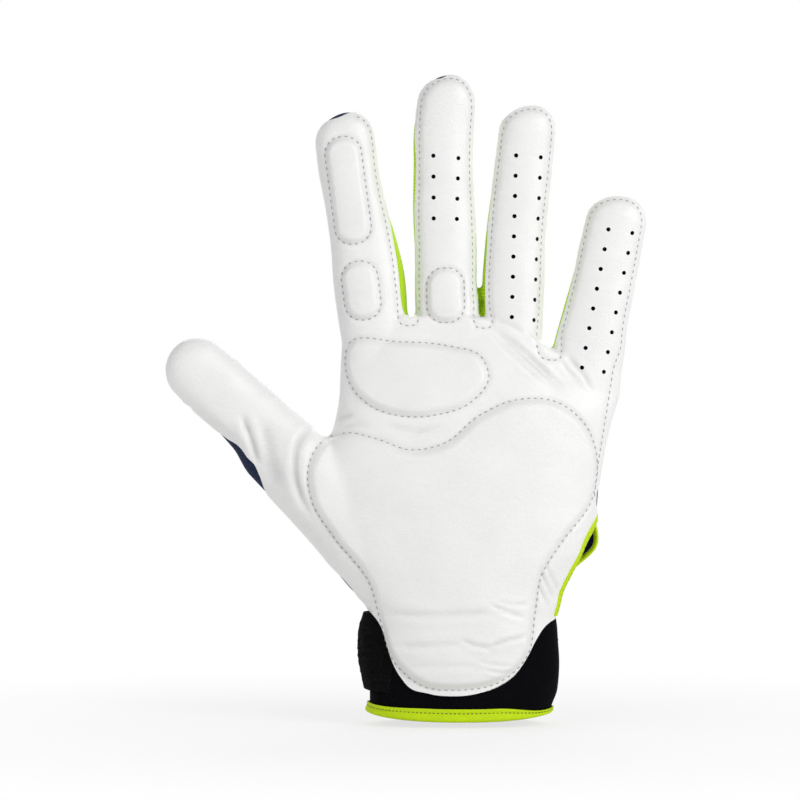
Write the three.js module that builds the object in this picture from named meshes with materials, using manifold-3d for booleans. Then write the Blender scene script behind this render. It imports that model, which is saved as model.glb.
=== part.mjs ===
// A left-hand padded inner glove of the kind worn inside a catcher's mitt.
// Millimetres, +Z up towards the fingertips, palm facing -Y, thumb towards -X.
// The origin is the middle of the wrist opening, where the hand goes in.
import * as THREE from "three";
import { LoftGeometry } from "three/addons/geometries/LoftGeometry.js";
import { mergeVertices } from "three/addons/utils/BufferGeometryUtils.js";
import Module from "manifold-3d";

const wasm = await Module();
wasm.setup();

// Thicknesses and clearances
const GAP = 0.36; // between pieces that touch in the sewn glove
const LEATHER = 1.2;
const NEOPRENE = 2.6;
const PALM_RISE = 2.2; // how far the palm pads lift the leather
const FINGER_RISE = 1.6; // how far the finger pads lift the leather
const PAD_INSET = 1.0; // foam edge inside its stitched outline
const LINING = 0.6;
const FAR = 200; // half size of the cutting blocks

// Seams, as depths from the middle plane of the hand
const SEAM = 3; // where the palm leather meets the back panel
const FOURCHETTE = { front: -4, back: 6 }; // edges of the side strips

// Facet counts
const HAND_SIDES = 32;
const DIGIT_SIDES = 14;
const DOME_RINGS = 4;

// Cross-sections of the hand from the hem to the knuckles.
// square is the superellipse exponent, arch is how much of the knuckle curve the section follows.
const HAND = [
  { z: 0, left: -35, right: 36.6, front: 22, back: 22, square: 2.3, arch: 0 },
  { z: 9, left: -35, right: 38.8, front: 22, back: 22, square: 2.3, arch: 0 },
  { z: 41, left: -35, right: 38.8, front: 22, back: 22, square: 2.3, arch: 0 },
  { z: 49, left: -40, right: 42, front: 21, back: 20, square: 2.35, arch: 0 },
  { z: 61, left: -46, right: 48.5, front: 20.5, back: 19, square: 2.4, arch: 0 },
  { z: 76, left: -50.5, right: 52.5, front: 20, back: 18, square: 2.5, arch: 0 },
  { z: 95, left: -51.5, right: 54.5, front: 19, back: 17, square: 2.6, arch: 0 },
  { z: 110, left: -48, right: 56.8, front: 18, back: 16, square: 2.6, arch: 0.1 },
  { z: 122, left: -45.4, right: 58.8, front: 17, back: 15, square: 2.6, arch: 0.3 },
  { z: 136, left: -44.6, right: 61, front: 14.5, back: 13.5, square: 2.6, arch: 0.65 },
  { z: 149, left: -44, right: 62, front: 11.4, back: 11.2, square: 2.6, arch: 1 },
  { z: 160, left: -44, right: 62, front: 10.6, back: 10.6, square: 2.6, arch: 1 },
];
// Height of the finger crotches across the hand, and the height the arch is measured from
const KNUCKLES = [
  [-60, 147],
  [-46, 149.6],
  [-19, 152.2],
  [9.5, 151.6],
  [24, 147],
  [36, 138.8],
  [48, 134],
  [75, 128],
];
const KNUCKLE_TOP = 152;

// Digits. knuckle is the base crease (x, z), tilt leans the digit in the palm plane (degrees, + to +X),
// bend is the distance to the middle crease, tip the length, curl how far the tip leans to the palm side.
// Each station is [distance along, sideways shift, half width, half depth].
const DIGITS = [
  {
    name: "thumb",
    knuckle: [-63.8, 99.6],
    tilt: -49.4,
    bend: 27,
    tip: 60.8,
    curl: 7,
    sides: [],
    stations: [
      [-50, -9, 14, 15],
      [-25, -3, 15.6, 15],
      [0, 0.4, 16, 13.2],
      [20, 1.4, 14.8, 11.8],
      [36, 2.8, 13.6, 11],
      [48.5, 3.6, 12.6, 10],
    ],
  },
  {
    name: "index",
    knuckle: [-32.4, 153.2],
    tilt: -7.6,
    bend: 25.2,
    tip: 79.2,
    curl: 6,
    sides: [1],
    stations: [
      [-16, 0, 12.4, 10.5],
      [0, 0.5, 13.5, 11],
      [16, 0.9, 13.9, 11],
      [28, 0.7, 12.9, 10.6],
      [45, -0.7, 11.6, 10.2],
      [58, -1.4, 11.6, 9.8],
      [68, -1.2, 11.6, 9.2],
    ],
  },
  {
    name: "middle",
    knuckle: [-3.6, 153.2],
    tilt: -0.6,
    bend: 30.6,
    tip: 92.6,
    curl: 7,
    sides: [-1, 1],
    stations: [
      [-16, 0, 12.2, 10.5],
      [0, 0, 12.8, 11],
      [24, -0.5, 12.5, 10.8],
      [41, -1.4, 12.2, 10.4],
      [58, -1.5, 11.7, 10],
      [72, -1.1, 11.8, 9.8],
      [81, 0, 11.2, 9.4],
    ],
  },
  {
    name: "ring",
    knuckle: [21.8, 152.8],
    tilt: 4,
    bend: 27.4,
    tip: 81.8,
    curl: 6,
    sides: [-1, 1],
    stations: [
      [-16, -0.4, 11, 10.5],
      [0, -0.8, 11.3, 10.8],
      [24, -2.2, 11.5, 10.4],
      [41, -2.1, 11.5, 10],
      [58, -1, 11.2, 9.6],
      [71, -0.5, 10.9, 9],
    ],
  },
  {
    name: "little",
    knuckle: [47.6, 139.9],
    tilt: 12.1,
    bend: 20.4,
    tip: 62,
    curl: 5,
    sides: [-1],
    stations: [
      [-14, 0.6, 12, 10],
      [0, 0.6, 12.9, 10.2],
      [14, 1.1, 12.7, 9.8],
      [30, 1.6, 12.2, 9.2],
      [43, 1.5, 11.9, 8.8],
      [51.5, 1.5, 11.5, 8.4],
    ],
  },
];

// Stitched pad outlines. Palm outlines are (x, z) of the hand, finger outlines (across, along) the digit.
const PALM_PAD = [
  [-51.6, 106.8],
  [-42.5, 109.8],
  [-31, 107.6],
  [-18, 103.4],
  [-5, 106],
  [8, 116.4],
  [22, 122.4],
  [38, 121.6],
  [49.5, 112],
  [53.8, 97],
  [51.5, 84],
  [40, 68.4],
  [32, 55.5],
  [29.5, 41],
  [26.4, 24.5],
  [16, 14.4],
  [1, 11.2],
  [-14, 13],
  [-24.4, 22.5],
  [-29.5, 38],
  [-34, 53],
  [-47, 69.5],
  [-55.8, 84],
  [-57, 97],
];
const KNUCKLE_PAD = [
  [-42, 144],
  [-22, 145.4],
  [-3, 143.6],
  [8.6, 139.6],
  [11.8, 131],
  [5, 121.6],
  [-8, 116.8],
  [-21, 116.2],
  [-34, 120.6],
  [-41.4, 129],
  [-43, 138],
];
const FINGER_PADS = [
  { digit: "index", segment: "upper", name: "index_tip_pad", middle: [-1.6, 49], size: [14, 41], corner: 6.4 },
  { digit: "index", segment: "lower", name: "index_base_pad", middle: [-2.6, 11.2], size: [15, 20.5], corner: 6.4 },
  { digit: "middle", segment: "lower", name: "middle_base_pad", middle: [-1.6, 10.6], size: [14.4, 19.4], corner: 6.4 },
];

// Edge of the lining that closes in both palm pads
const LINING_OUTLINE = [
  [-38, 56],
  [-44, 76],
  [-45, 96],
  [-40, 116],
  [-38, 138],
  [-26, 147],
  [0, 147],
  [26, 138],
  [42, 126],
  [49, 108],
  [48, 84],
  [40, 60],
  [26, 50],
  [-24, 50],
];

// Lower edge of the palm leather: a tongue that laps over the cuff, from the thumb side to the little finger side
const TONGUE = [
  [-33.5, 43.5],
  [-27.7, 32.3],
  [-23.2, 20.9],
  [-16, 13],
  [-2.5, 9.6],
  [11.6, 12],
  [21.5, 19.8],
  [27, 30],
  [39, 36],
];

// Wrist
const CUFF = { bottom: 1.2, top: 47, outer: -LEATHER - GAP, seam: -2, slit: [16.5, 18.6] };
const BACK_EDGE = 43; // lower edge of the back panel
const HEM = { height: 5, outer: -0.5, wall: 0.7 };
const VENT = { bottom: 48.6, top: 78, widest: 64, opening: 10, tape: 1.1 };
const STRAP = { low: 11, high: 41, inner: 0.7, thick: 2.2, root: 213, hinge: 187, end: 27, corner: 8 };
const GRIP_PATCH = { low: 15, high: 37, thick: 0.6, from: 29, to: 55 };

// Colours read from the photograph
const WHITE_LEATHER = { color: 0xe9e8e6, roughness: 0.5 };
const NAVY_KNIT = { color: 0x18233f, roughness: 0.8 };
const LIME_KNIT = { color: 0xb4e01c, roughness: 0.7 };
const BLACK_NEOPRENE = { color: 0x111215, roughness: 0.85 };
const BLACK_TAPE = { color: 0x1b1b1a, roughness: 0.95 };
const GREY_FOAM = { color: 0x9a9a98, roughness: 0.95 };
const WHITE_TRICOT = { color: 0xd9d9d6, roughness: 0.9 };

// A closed geometry as a solid, turned right way out
function solid(geometry) {
  const bare = new THREE.BufferGeometry();
  bare.setAttribute("position", geometry.attributes.position);
  bare.setIndex(geometry.index);
  const merged = mergeVertices(bare, 1e-4);
  const vertProperties = new Float32Array(merged.attributes.position.array);
  const triVerts = new Uint32Array(merged.index.array);
  const made = new wasm.Manifold(new wasm.Mesh({ numProp: 3, vertProperties, triVerts }));
  if (made.volume() > 0) return made;
  for (let i = 0; i < triVerts.length; i += 3) {
    [triVerts[i + 1], triVerts[i + 2]] = [triVerts[i + 2], triVerts[i + 1]];
  }
  return new wasm.Manifold(new wasm.Mesh({ numProp: 3, vertProperties, triVerts }));
}

// A solid back as geometry for a mesh
function geometryOf(body) {
  const mesh = body.getMesh();
  const geometry = new THREE.BufferGeometry();
  geometry.setAttribute("position", new THREE.BufferAttribute(mesh.vertProperties, 3));
  geometry.setIndex(new THREE.BufferAttribute(mesh.triVerts, 1));
  return geometry;
}

// A block between two corners
function block(low, high) {
  const size = high.map((value, axis) => value - low[axis]);
  const geometry = new THREE.BoxGeometry(...size);
  geometry.translate(...low.map((value, axis) => value + size[axis] / 2));
  return solid(geometry);
}

// A prism through the hand from an outline in (x, z), between two depths
function prism(outline, near = -FAR, far = FAR) {
  const shape = new THREE.Shape(outline.map(([x, z]) => new THREE.Vector2(x, z)));
  const geometry = new THREE.ExtrudeGeometry(shape, { depth: far - near, bevelEnabled: false });
  geometry.rotateX(Math.PI / 2);
  geometry.translate(0, far, 0);
  return solid(geometry);
}

// A smooth closed outline through hand-picked points
function smoothOutline(points, count) {
  const curve = new THREE.CatmullRomCurve3(points.map(([x, z]) => new THREE.Vector3(x, z, 0)), true);
  return curve.getSpacedPoints(count).slice(0, count).map((p) => [p.x, p.y]);
}

// An outline moved inwards by a distance, for an outline that runs clockwise
function inset(outline, distance) {
  return outline.map(([x, z], i) => {
    const before = outline[(i + outline.length - 1) % outline.length];
    const after = outline[(i + 1) % outline.length];
    const along = new THREE.Vector2(after[0] - before[0], after[1] - before[1]).normalize();
    return [x + along.y * distance, z - along.x * distance];
  });
}

// A rectangle with round corners, clockwise from its lower left corner
function roundedRectangle([x, z], [width, height], corner) {
  const outline = [];
  const quarters = [
    [-1, -1, 270],
    [-1, 1, 180],
    [1, 1, 90],
    [1, -1, 0],
  ];
  const steps = 4;
  for (const [sideX, sideZ, start] of quarters) {
    for (let k = 0; k <= steps; k++) {
      const angle = THREE.MathUtils.degToRad(start - (90 * k) / steps);
      const px = x + sideX * (width / 2 - corner) + corner * Math.cos(angle);
      outline.push([px, z + sideZ * (height / 2 - corner) + corner * Math.sin(angle)]);
    }
  }
  return outline;
}

// A superellipse point at an angle, with its own front and back depth
function superellipse(angle, halfWidth, front, back, square) {
  const c = Math.cos(angle);
  const s = Math.sin(angle);
  const depth = s < 0 ? front : back;
  const x = Math.sign(c) * halfWidth * Math.abs(c) ** (2 / square);
  const y = Math.sign(s) * depth * Math.abs(s) ** (2 / square);
  return [x, y];
}

// Straight-line interpolation in a list of [key, value] pairs
function interpolate(pairs, key) {
  const last = pairs.length - 1;
  if (key <= pairs[0][0]) return pairs[0][1];
  if (key >= pairs[last][0]) return pairs[last][1];
  const i = pairs.findIndex(([k]) => k > key);
  const [[k0, v0], [k1, v1]] = [pairs[i - 1], pairs[i]];
  return v0 + ((v1 - v0) * (key - k0)) / (k1 - k0);
}

// The hand's section measures at any height
function handAt(z) {
  const measure = (key) => interpolate(HAND.map((section) => [section.z, section[key]]), z);
  return Object.fromEntries(["left", "right", "front", "back", "square"].map((key) => [key, measure(key)]));
}

// A point on the hand's surface, moved outwards by offset, at an angle from +X towards the back
function handPoint(z, angle, offset) {
  const { left, right, front, back, square } = handAt(z);
  const half = (right - left) / 2 + offset;
  const [x, y] = superellipse(angle, half, front + offset, back + offset, square);
  return new THREE.Vector3((left + right) / 2 + x, y, z);
}

// The whole palm, wrist and back of the hand as one body, moved outwards by offset.
// The finger crotches are trimmed along the knuckle curve.
function handBody(offset, bottom = HAND[0].z) {
  const sections = HAND.map(({ z, arch }, row) => {
    const base = row === 0 ? bottom : z;
    return Array.from({ length: HAND_SIDES }, (_, i) => {
      const point = handPoint(z, (2 * Math.PI * i) / HAND_SIDES, offset);
      point.z = base + arch * (interpolate(KNUCKLES, point.x) - KNUCKLE_TOP);
      return point;
    });
  });
  const crest = KNUCKLES.map(([x, z]) => [x, z + offset]);
  const underCrest = prism([...crest, [crest.at(-1)[0], -10], [crest[0][0], -10]]);
  return solid(new LoftGeometry(sections, { capStart: true, capEnd: true })).intersect(underCrest);
}

// One digit as a body in its own frame, +Z along it from its base crease, moved outwards by offset
function digitBody(digit, offset) {
  const shift = (w) => -digit.curl * Math.max(0, w / digit.tip) ** 2;
  const ring = (w, sideways, halfWidth, halfDepth) =>
    Array.from({ length: DIGIT_SIDES }, (_, i) => {
      const angle = (2 * Math.PI * (i + 0.5)) / DIGIT_SIDES;
      const [x, y] = superellipse(angle, halfWidth, halfDepth, halfDepth, 2.2);
      return new THREE.Vector3(x + sideways, y + shift(w), w);
    });
  const sections = digit.stations.map(([w, s, a, b]) => ring(w, s, a + offset, b + offset));
  const [start, sideways, a, b] = digit.stations.at(-1);
  const height = digit.tip + offset - start;
  for (let k = 1; k <= DOME_RINGS; k++) {
    const lift = (k / (DOME_RINGS + 0.35)) * (Math.PI / 2);
    const shrink = Math.cos(lift);
    sections.push(ring(start + height * Math.sin(lift), sideways, (a + offset) * shrink, (b + offset) * shrink));
  }
  return solid(new LoftGeometry(sections, { capStart: true, capEnd: true }));
}

// Where a digit stands in the hand
function digitMatrix(digit) {
  const turn = new THREE.Matrix4().makeRotationY(THREE.MathUtils.degToRad(digit.tilt));
  return turn.setPosition(digit.knuckle[0], 0, digit.knuckle[1]);
}

// A digit's solid moved into the hand's frame
function inHand(digit, body) {
  const geometry = geometryOf(body);
  geometry.applyMatrix4(digitMatrix(digit));
  return solid(geometry);
}

// A curved band round the wrist between two angles, as a loft of four-cornered sections
function wristBand({ from, to, low, high, inner, thick, corner = 0 }, steps) {
  const sections = [];
  for (let k = 0; k <= steps; k++) {
    const degrees = from + ((to - from) * k) / steps;
    const angle = THREE.MathUtils.degToRad(degrees);
    const near = Math.min(1, k / 3);
    const trim = corner * (1 - Math.sqrt(1 - (1 - near) ** 2));
    const at = (z, offset) => {
      const point = handPoint(26, angle, offset);
      return new THREE.Vector3(point.x, point.y, z);
    };
    const outer = inner + thick;
    const [bottom, top] = [low + trim, high - trim];
    sections.push([at(top, inner), at(top, outer), at(bottom, outer), at(bottom, inner)]);
  }
  return solid(new LoftGeometry(sections, { capStart: true, capEnd: true }));
}

// Named mesh with its own material
function piece(name, body, look) {
  const material = new THREE.MeshStandardMaterial({ ...look, metalness: 0 });
  const mesh = new THREE.Mesh(geometryOf(body), material);
  mesh.name = name;
  return mesh;
}

const glove = new THREE.Group();
const inFront = block([-FAR, -FAR, -FAR], [FAR, SEAM - GAP / 2, FAR]);
const behind = block([-FAR, SEAM + GAP / 2, -FAR], [FAR, FAR, FAR]);
const outerDigits = Object.fromEntries(DIGITS.map((digit) => [digit.name, digitBody(digit, 0)]));
const innerDigits = Object.fromEntries(DIGITS.map((digit) => [digit.name, digitBody(digit, -LEATHER)]));

// The block that a side strip fills beside a digit, grown by a margin
function stripBlock(digit, side, margin) {
  const end = digit.stations.at(-1)[0] + 3;
  const [left, right] = side > 0 ? [3 - margin, FAR] : [-FAR, -3 + margin];
  const low = [left, FOURCHETTE.front - margin, -FAR];
  return block(low, [right, FOURCHETTE.back + margin, end + margin]);
}

// One half of a digit, from one crease to the next, as its leather, back and side strips
function addDigitHalf(group, digit, segment, pads) {
  const lower = segment === "lower";
  const [from, to] = lower ? [0, digit.bend] : [digit.bend, FAR];
  const slice = block([-FAR, -FAR, from + GAP / 2], [FAR, FAR, to - GAP / 2]);
  let shell = outerDigits[digit.name].subtract(innerDigits[digit.name]).intersect(slice);
  const strips = digit.sides.map((side) => ({ side, strip: shell.intersect(stripBlock(digit, side, -GAP / 2)) }));
  let leather = shell.intersect(inFront);
  const foams = [];
  for (const pad of pads) {
    const outline = roundedRectangle(pad.middle, pad.size, pad.corner);
    const small = pad.size.map((size) => size - 2 * PAD_INSET);
    const core = roundedRectangle(pad.middle, small, pad.corner - PAD_INSET);
    const smaller = small.map((size) => size - 2 * GAP);
    const fill = roundedRectangle(pad.middle, smaller, pad.corner - PAD_INSET - GAP);
    const bulge = digitBody(digit, FINGER_RISE).intersect(prism(outline, -FAR, 0)).intersect(slice);
    const pocket = digitBody(digit, FINGER_RISE - LEATHER).intersect(prism(core, -FAR, 0));
    leather = leather.add(bulge).subtract(pocket).subtract(innerDigits[digit.name]);
    const foam = digitBody(digit, FINGER_RISE - LEATHER - GAP).intersect(prism(fill, -FAR, 0)).intersect(slice);
    foams.push(piece(`${pad.name}_foam`, foam.subtract(digitBody(digit, -LEATHER)), GREY_FOAM));
  }
  let back = shell.intersect(behind);
  for (const side of digit.sides) {
    const cut = stripBlock(digit, side, GAP / 2);
    leather = leather.subtract(cut);
    back = back.subtract(cut);
  }
  const meshes = [
    piece(`${digit.name}_${segment}_leather`, leather, WHITE_LEATHER),
    piece(`${digit.name}_${segment}_back`, back, NAVY_KNIT),
    ...foams,
  ];
  for (const { side, strip } of strips) {
    const where = side > 0 ? "outer" : "inner";
    meshes.push(piece(`${digit.name}_${segment}_${where}_fourchette`, strip, LIME_KNIT));
  }
  for (const mesh of meshes) {
    if (!lower) mesh.position.z = -digit.bend;
    group.add(mesh);
  }
}

// Fingers and thumb: a group at each base crease, with a group at its middle crease inside it
for (const digit of DIGITS) {
  const base = new THREE.Group();
  base.position.set(digit.knuckle[0], 0, digit.knuckle[1]);
  base.rotation.y = THREE.MathUtils.degToRad(digit.tilt);
  const middle = new THREE.Group();
  middle.position.z = digit.bend;
  const padsOf = (segment) => FINGER_PADS.filter((pad) => pad.digit === digit.name && pad.segment === segment);
  addDigitHalf(base, digit, "lower", padsOf("lower"));
  addDigitHalf(middle, digit, "upper", padsOf("upper"));
  base.add(middle);
  glove.add(base);
}

// The shell of the hand: palm, back and digit roots, hollow right into the digits
const below = block([-FAR, -FAR, -FAR], [FAR, FAR, -GAP / 2]);
let handOuter = handBody(0);
let handInner = handBody(-LEATHER, -1);
let digitRoom = null;
for (const digit of DIGITS) {
  handOuter = handOuter.add(inHand(digit, outerDigits[digit.name].intersect(below)));
  handInner = handInner.add(inHand(digit, innerDigits[digit.name]));
  const width = digit.stations[2][2] + 1;
  const room = inHand(digit, block([-width, -40, -GAP / 2], [width, 40, 40]));
  digitRoom = digitRoom ? digitRoom.add(room) : room;
}

// The hand with the ball of the thumb, moved outwards by offset
function palmForm(offset) {
  const thumb = DIGITS[0];
  const root = digitBody(thumb, offset).intersect(below);
  return handBody(offset, -1).add(inHand(thumb, root));
}

// Palm pads: the leather lifts over each foam, and the lining closes them in
const palmPads = [
  { name: "palm_pad", outline: smoothOutline(PALM_PAD, 48) },
  { name: "knuckle_pad", outline: smoothOutline(KNUCKLE_PAD, 28) },
];
let palmOuter = handOuter;
let palmHollow = handInner;
for (const { name, outline } of palmPads) {
  palmOuter = palmOuter.add(palmForm(PALM_RISE).intersect(prism(outline, -FAR, 0)));
  const pocket = prism(inset(outline, PAD_INSET), -FAR, 0);
  palmHollow = palmHollow.add(palmForm(PALM_RISE - LEATHER).intersect(pocket));
  const fill = prism(inset(outline, PAD_INSET + GAP), -FAR, 0);
  const foam = palmForm(PALM_RISE - LEATHER - GAP).intersect(fill).subtract(palmForm(-LEATHER));
  glove.add(piece(`${name}_foam`, foam, GREY_FOAM));
}

// Side vent on the little finger side, between the palm leather and the back panel
// An edge of the opening as (depth, height), moved inwards by margin, up one side and over the top
function ventEdge(margin, bottom) {
  const half = VENT.opening / 2 - margin;
  const rise = VENT.top - margin - VENT.widest;
  const arch = Array.from({ length: 9 }, (_, k) => {
    const angle = Math.PI * (1 - k / 8);
    return [SEAM + half * Math.cos(angle), VENT.widest + rise * Math.sin(angle)];
  });
  return [[SEAM - half, bottom], ...arch, [SEAM + half, bottom]];
}
const ventShape = new THREE.Shape(ventEdge(0, 20).map(([y, z]) => new THREE.Vector2(y, z)));
const ventGeometry = new THREE.ExtrudeGeometry(ventShape, { depth: FAR, bevelEnabled: false });
ventGeometry.rotateX(Math.PI / 2);
ventGeometry.rotateZ(Math.PI / 2);
const ventCut = solid(ventGeometry);

// Crotch strips of the fourchettes, between neighbouring fingers
const crotches = [
  { name: "index_middle_crotch_fourchette", at: -18.4, low: 145 },
  { name: "middle_ring_crotch_fourchette", at: 9.9, low: 145 },
  { name: "ring_little_crotch_fourchette", at: 35.6, low: 131 },
];
const crotchBlock = ({ at, low }, margin) =>
  block(
    [at - 4.6 - margin, FOURCHETTE.front - margin, low - margin],
    [at + 4.6 + margin, FOURCHETTE.back + margin, FAR],
  );

const leatherEdge = [...TONGUE, [FAR, TONGUE.at(-1)[1]], [FAR, FAR], [-FAR, FAR], [-FAR, TONGUE[0][1]]];
let palmLeather = palmOuter.subtract(palmHollow).subtract(digitRoom).intersect(inFront);
palmLeather = palmLeather.intersect(prism(leatherEdge)).subtract(ventCut);
let backPanel = handOuter.subtract(handInner).subtract(digitRoom).intersect(behind).subtract(ventCut);
backPanel = backPanel.intersect(block([-FAR, -FAR, BACK_EDGE], [FAR, FAR, FAR]));
for (const crotch of crotches) {
  const strip = handOuter.subtract(handInner).subtract(digitRoom).intersect(crotchBlock(crotch, -GAP / 2));
  glove.add(piece(crotch.name, strip, LIME_KNIT));
  palmLeather = palmLeather.subtract(crotchBlock(crotch, GAP / 2));
  backPanel = backPanel.subtract(crotchBlock(crotch, GAP / 2));
}
glove.add(piece("palm_leather", palmLeather, WHITE_LEATHER));
glove.add(piece("back_panel", backPanel, NAVY_KNIT));

// Lining sheet under both palm pads
const liningOutline = smoothOutline(LINING_OUTLINE, 32);
const liningOuter = -LEATHER - GAP;
const lining = handBody(liningOuter, -1).subtract(handBody(liningOuter - LINING, -2));
glove.add(piece("palm_lining", lining.intersect(prism(liningOutline, -FAR, -2)), WHITE_TRICOT));

// Bound edge of the vent: a soft tape that runs up one side and down the other
const ventPath = ventEdge(VENT.tape + GAP, VENT.bottom).map(([y, z]) => {
  const { left, right, front, back, square } = handAt(z);
  const reach = 1 - (Math.abs(y) / (y < 0 ? front : back)) ** square;
  const x = (left + right) / 2 + ((right - left) / 2) * reach ** (1 / square);
  return new THREE.Vector3(x - LEATHER / 2, y, z);
});
const tapeShape = new THREE.Shape();
tapeShape.absarc(0, 0, VENT.tape, 0, 2 * Math.PI);
const tape = new THREE.ExtrudeGeometry(tapeShape, {
  curveSegments: 4,
  steps: 28,
  extrudePath: new THREE.CatmullRomCurve3(ventPath),
  bevelEnabled: false,
});
glove.add(piece("vent_binding", solid(tape), LIME_KNIT));

// Cuff in two halves, sewn together on the thumb side and slit at the back, towards the little finger
const cuffInner = CUFF.outer - NEOPRENE;
const cuffRange = block([-FAR, -FAR, CUFF.bottom], [FAR, FAR, CUFF.top]);
const cuff = handBody(CUFF.outer, -1).subtract(handBody(cuffInner, -2)).intersect(cuffRange);
const frontHalf = block([-FAR, -FAR, -FAR], [0, CUFF.seam, FAR]).add(block([0, -FAR, -FAR], [FAR, CUFF.slit[0], FAR]));
const backHalf = block([-FAR, CUFF.seam + GAP, -FAR], [0, FAR, FAR]).add(
  block([0, CUFF.slit[1], -FAR], [FAR, FAR, FAR]),
);
glove.add(piece("cuff_front", cuff.intersect(frontHalf), BLACK_NEOPRENE));
glove.add(piece("cuff_back", cuff.intersect(backHalf), BLACK_NEOPRENE));

// Hem binding: a channel folded over the lower edge of the cuff, open at the slit
const hemInner = cuffInner - GAP - HEM.wall;
const hemRing = handBody(CUFF.outer + GAP + HEM.wall).subtract(handBody(hemInner, -2));
const hemChannel = handBody(CUFF.outer + GAP, HEM.wall).subtract(handBody(cuffInner - GAP, -2));
const hemSlit = block([0, CUFF.slit[0], -FAR], [FAR, CUFF.slit[1], FAR]);
const hem = hemRing.intersect(block([-FAR, -FAR, 0], [FAR, FAR, HEM.height])).subtract(hemChannel).subtract(hemSlit);
glove.add(piece("hem_binding", hem, LIME_KNIT));

// Wrist strap: sewn down on the thumb side, carried round the back and pressed onto the loop patch
const rootBand = { ...STRAP, from: STRAP.hinge + 0.6, to: STRAP.root, corner: 0 };
glove.add(piece("strap_root", wristBand(rootBand, 6), BLACK_TAPE));
const strapBand = { ...STRAP, from: STRAP.end, to: STRAP.hinge };
glove.add(piece("wrist_strap", wristBand(strapBand, 30), BLACK_TAPE));
const loopPatch = { ...GRIP_PATCH, inner: CUFF.outer + GAP, to: GRIP_PATCH.to - 8 };
glove.add(piece("loop_patch", wristBand(loopPatch, 8), BLACK_TAPE));
const hookPatch = { ...GRIP_PATCH, inner: STRAP.inner - GAP - GRIP_PATCH.thick };
glove.add(piece("hook_patch", wristBand(hookPatch, 8), BLACK_NEOPRENE));

export default glove;
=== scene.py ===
# %% [markdown]
# # A catcher's inner glove
# A catcher wears this thin left-hand glove inside the mitt. White leather covers the palm, foam pads are sewn
# under it, lime green strips join the sides of the fingers, the back is navy knit and the wrist is black neoprene.
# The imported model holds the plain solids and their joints. This lesson dresses each of them: one smooth skin is
# made for the whole hand, shaped by its pads and folds, cut along its seams into panels, and each panel gets its
# thickness, its thread and its finish.

# %% Load the frame
import math

import bmesh
import bpy
import numpy as np
from mathutils import Matrix, Vector
from mathutils.bvhtree import BVHTree


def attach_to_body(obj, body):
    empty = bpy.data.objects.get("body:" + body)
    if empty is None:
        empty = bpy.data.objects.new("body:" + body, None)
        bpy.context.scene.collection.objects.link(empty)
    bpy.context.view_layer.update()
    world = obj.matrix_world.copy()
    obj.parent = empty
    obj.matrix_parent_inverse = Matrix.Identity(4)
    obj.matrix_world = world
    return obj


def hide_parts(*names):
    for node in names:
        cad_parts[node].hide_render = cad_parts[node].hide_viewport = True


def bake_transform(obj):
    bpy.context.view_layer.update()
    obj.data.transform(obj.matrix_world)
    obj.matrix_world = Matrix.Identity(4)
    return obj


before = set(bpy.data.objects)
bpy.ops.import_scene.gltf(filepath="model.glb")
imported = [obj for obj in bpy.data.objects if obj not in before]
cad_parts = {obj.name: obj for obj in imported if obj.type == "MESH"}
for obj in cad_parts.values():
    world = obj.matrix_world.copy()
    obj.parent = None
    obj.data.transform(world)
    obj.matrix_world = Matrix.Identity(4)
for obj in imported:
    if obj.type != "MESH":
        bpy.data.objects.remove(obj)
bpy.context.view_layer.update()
MM = 0.001

# %% [markdown]
# ## The measures of the hand
# A glove on a hand is a palm with five tubes growing out of it. The palm is a stack of rounded sections, each with
# its own left, right, front and back, and every digit has its own frame: a base crease, a lean and stations along
# its length. These are the measures of the solids, in millimetres, so the skin lies where the frame says. Here and
# there a station stands a millimetre or two further in or out, where the outline in the photograph asks for it.

# %% Measures of the hand
# height, left, right, front, back, squareness and how much of the knuckle curve the section follows
HAND = np.array([
    [-4, -35, 35.6, 22, 22, 2.3, 0],
    [0, -35, 36.6, 22, 22, 2.3, 0],
    [9, -35, 38.8, 22, 22, 2.3, 0],
    [36, -35, 38.8, 22, 22, 2.3, 0],
    [41, -35, 38.8, 22, 22, 2.3, 0],
    [49, -40, 42, 21, 20, 2.35, 0],
    [61, -46, 48.5, 20.5, 19, 2.4, 0],
    [76, -50.5, 52.5, 20, 18, 2.5, 0],
    [95, -51.5, 54.5, 19, 17, 2.6, 0],
    [110, -48, 56.8, 18, 16, 2.6, 0.1],
    [122, -45.4, 58.8, 17, 15, 2.6, 0.3],
    [136, -44.6, 61, 14.5, 13.5, 2.6, 0.65],
    [149, -44, 62, 11.4, 11.2, 2.6, 1],
    [154, -44, 62, 10.9, 10.9, 2.6, 1],
])
KNUCKLE_X = np.array([-60, -46, -19, 9.5, 24, 36, 48, 75])
KNUCKLE_Z = np.array([147, 149.6, 152.2, 151.6, 147, 138.8, 134, 128])
KNUCKLE_TOP = 152

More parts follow.
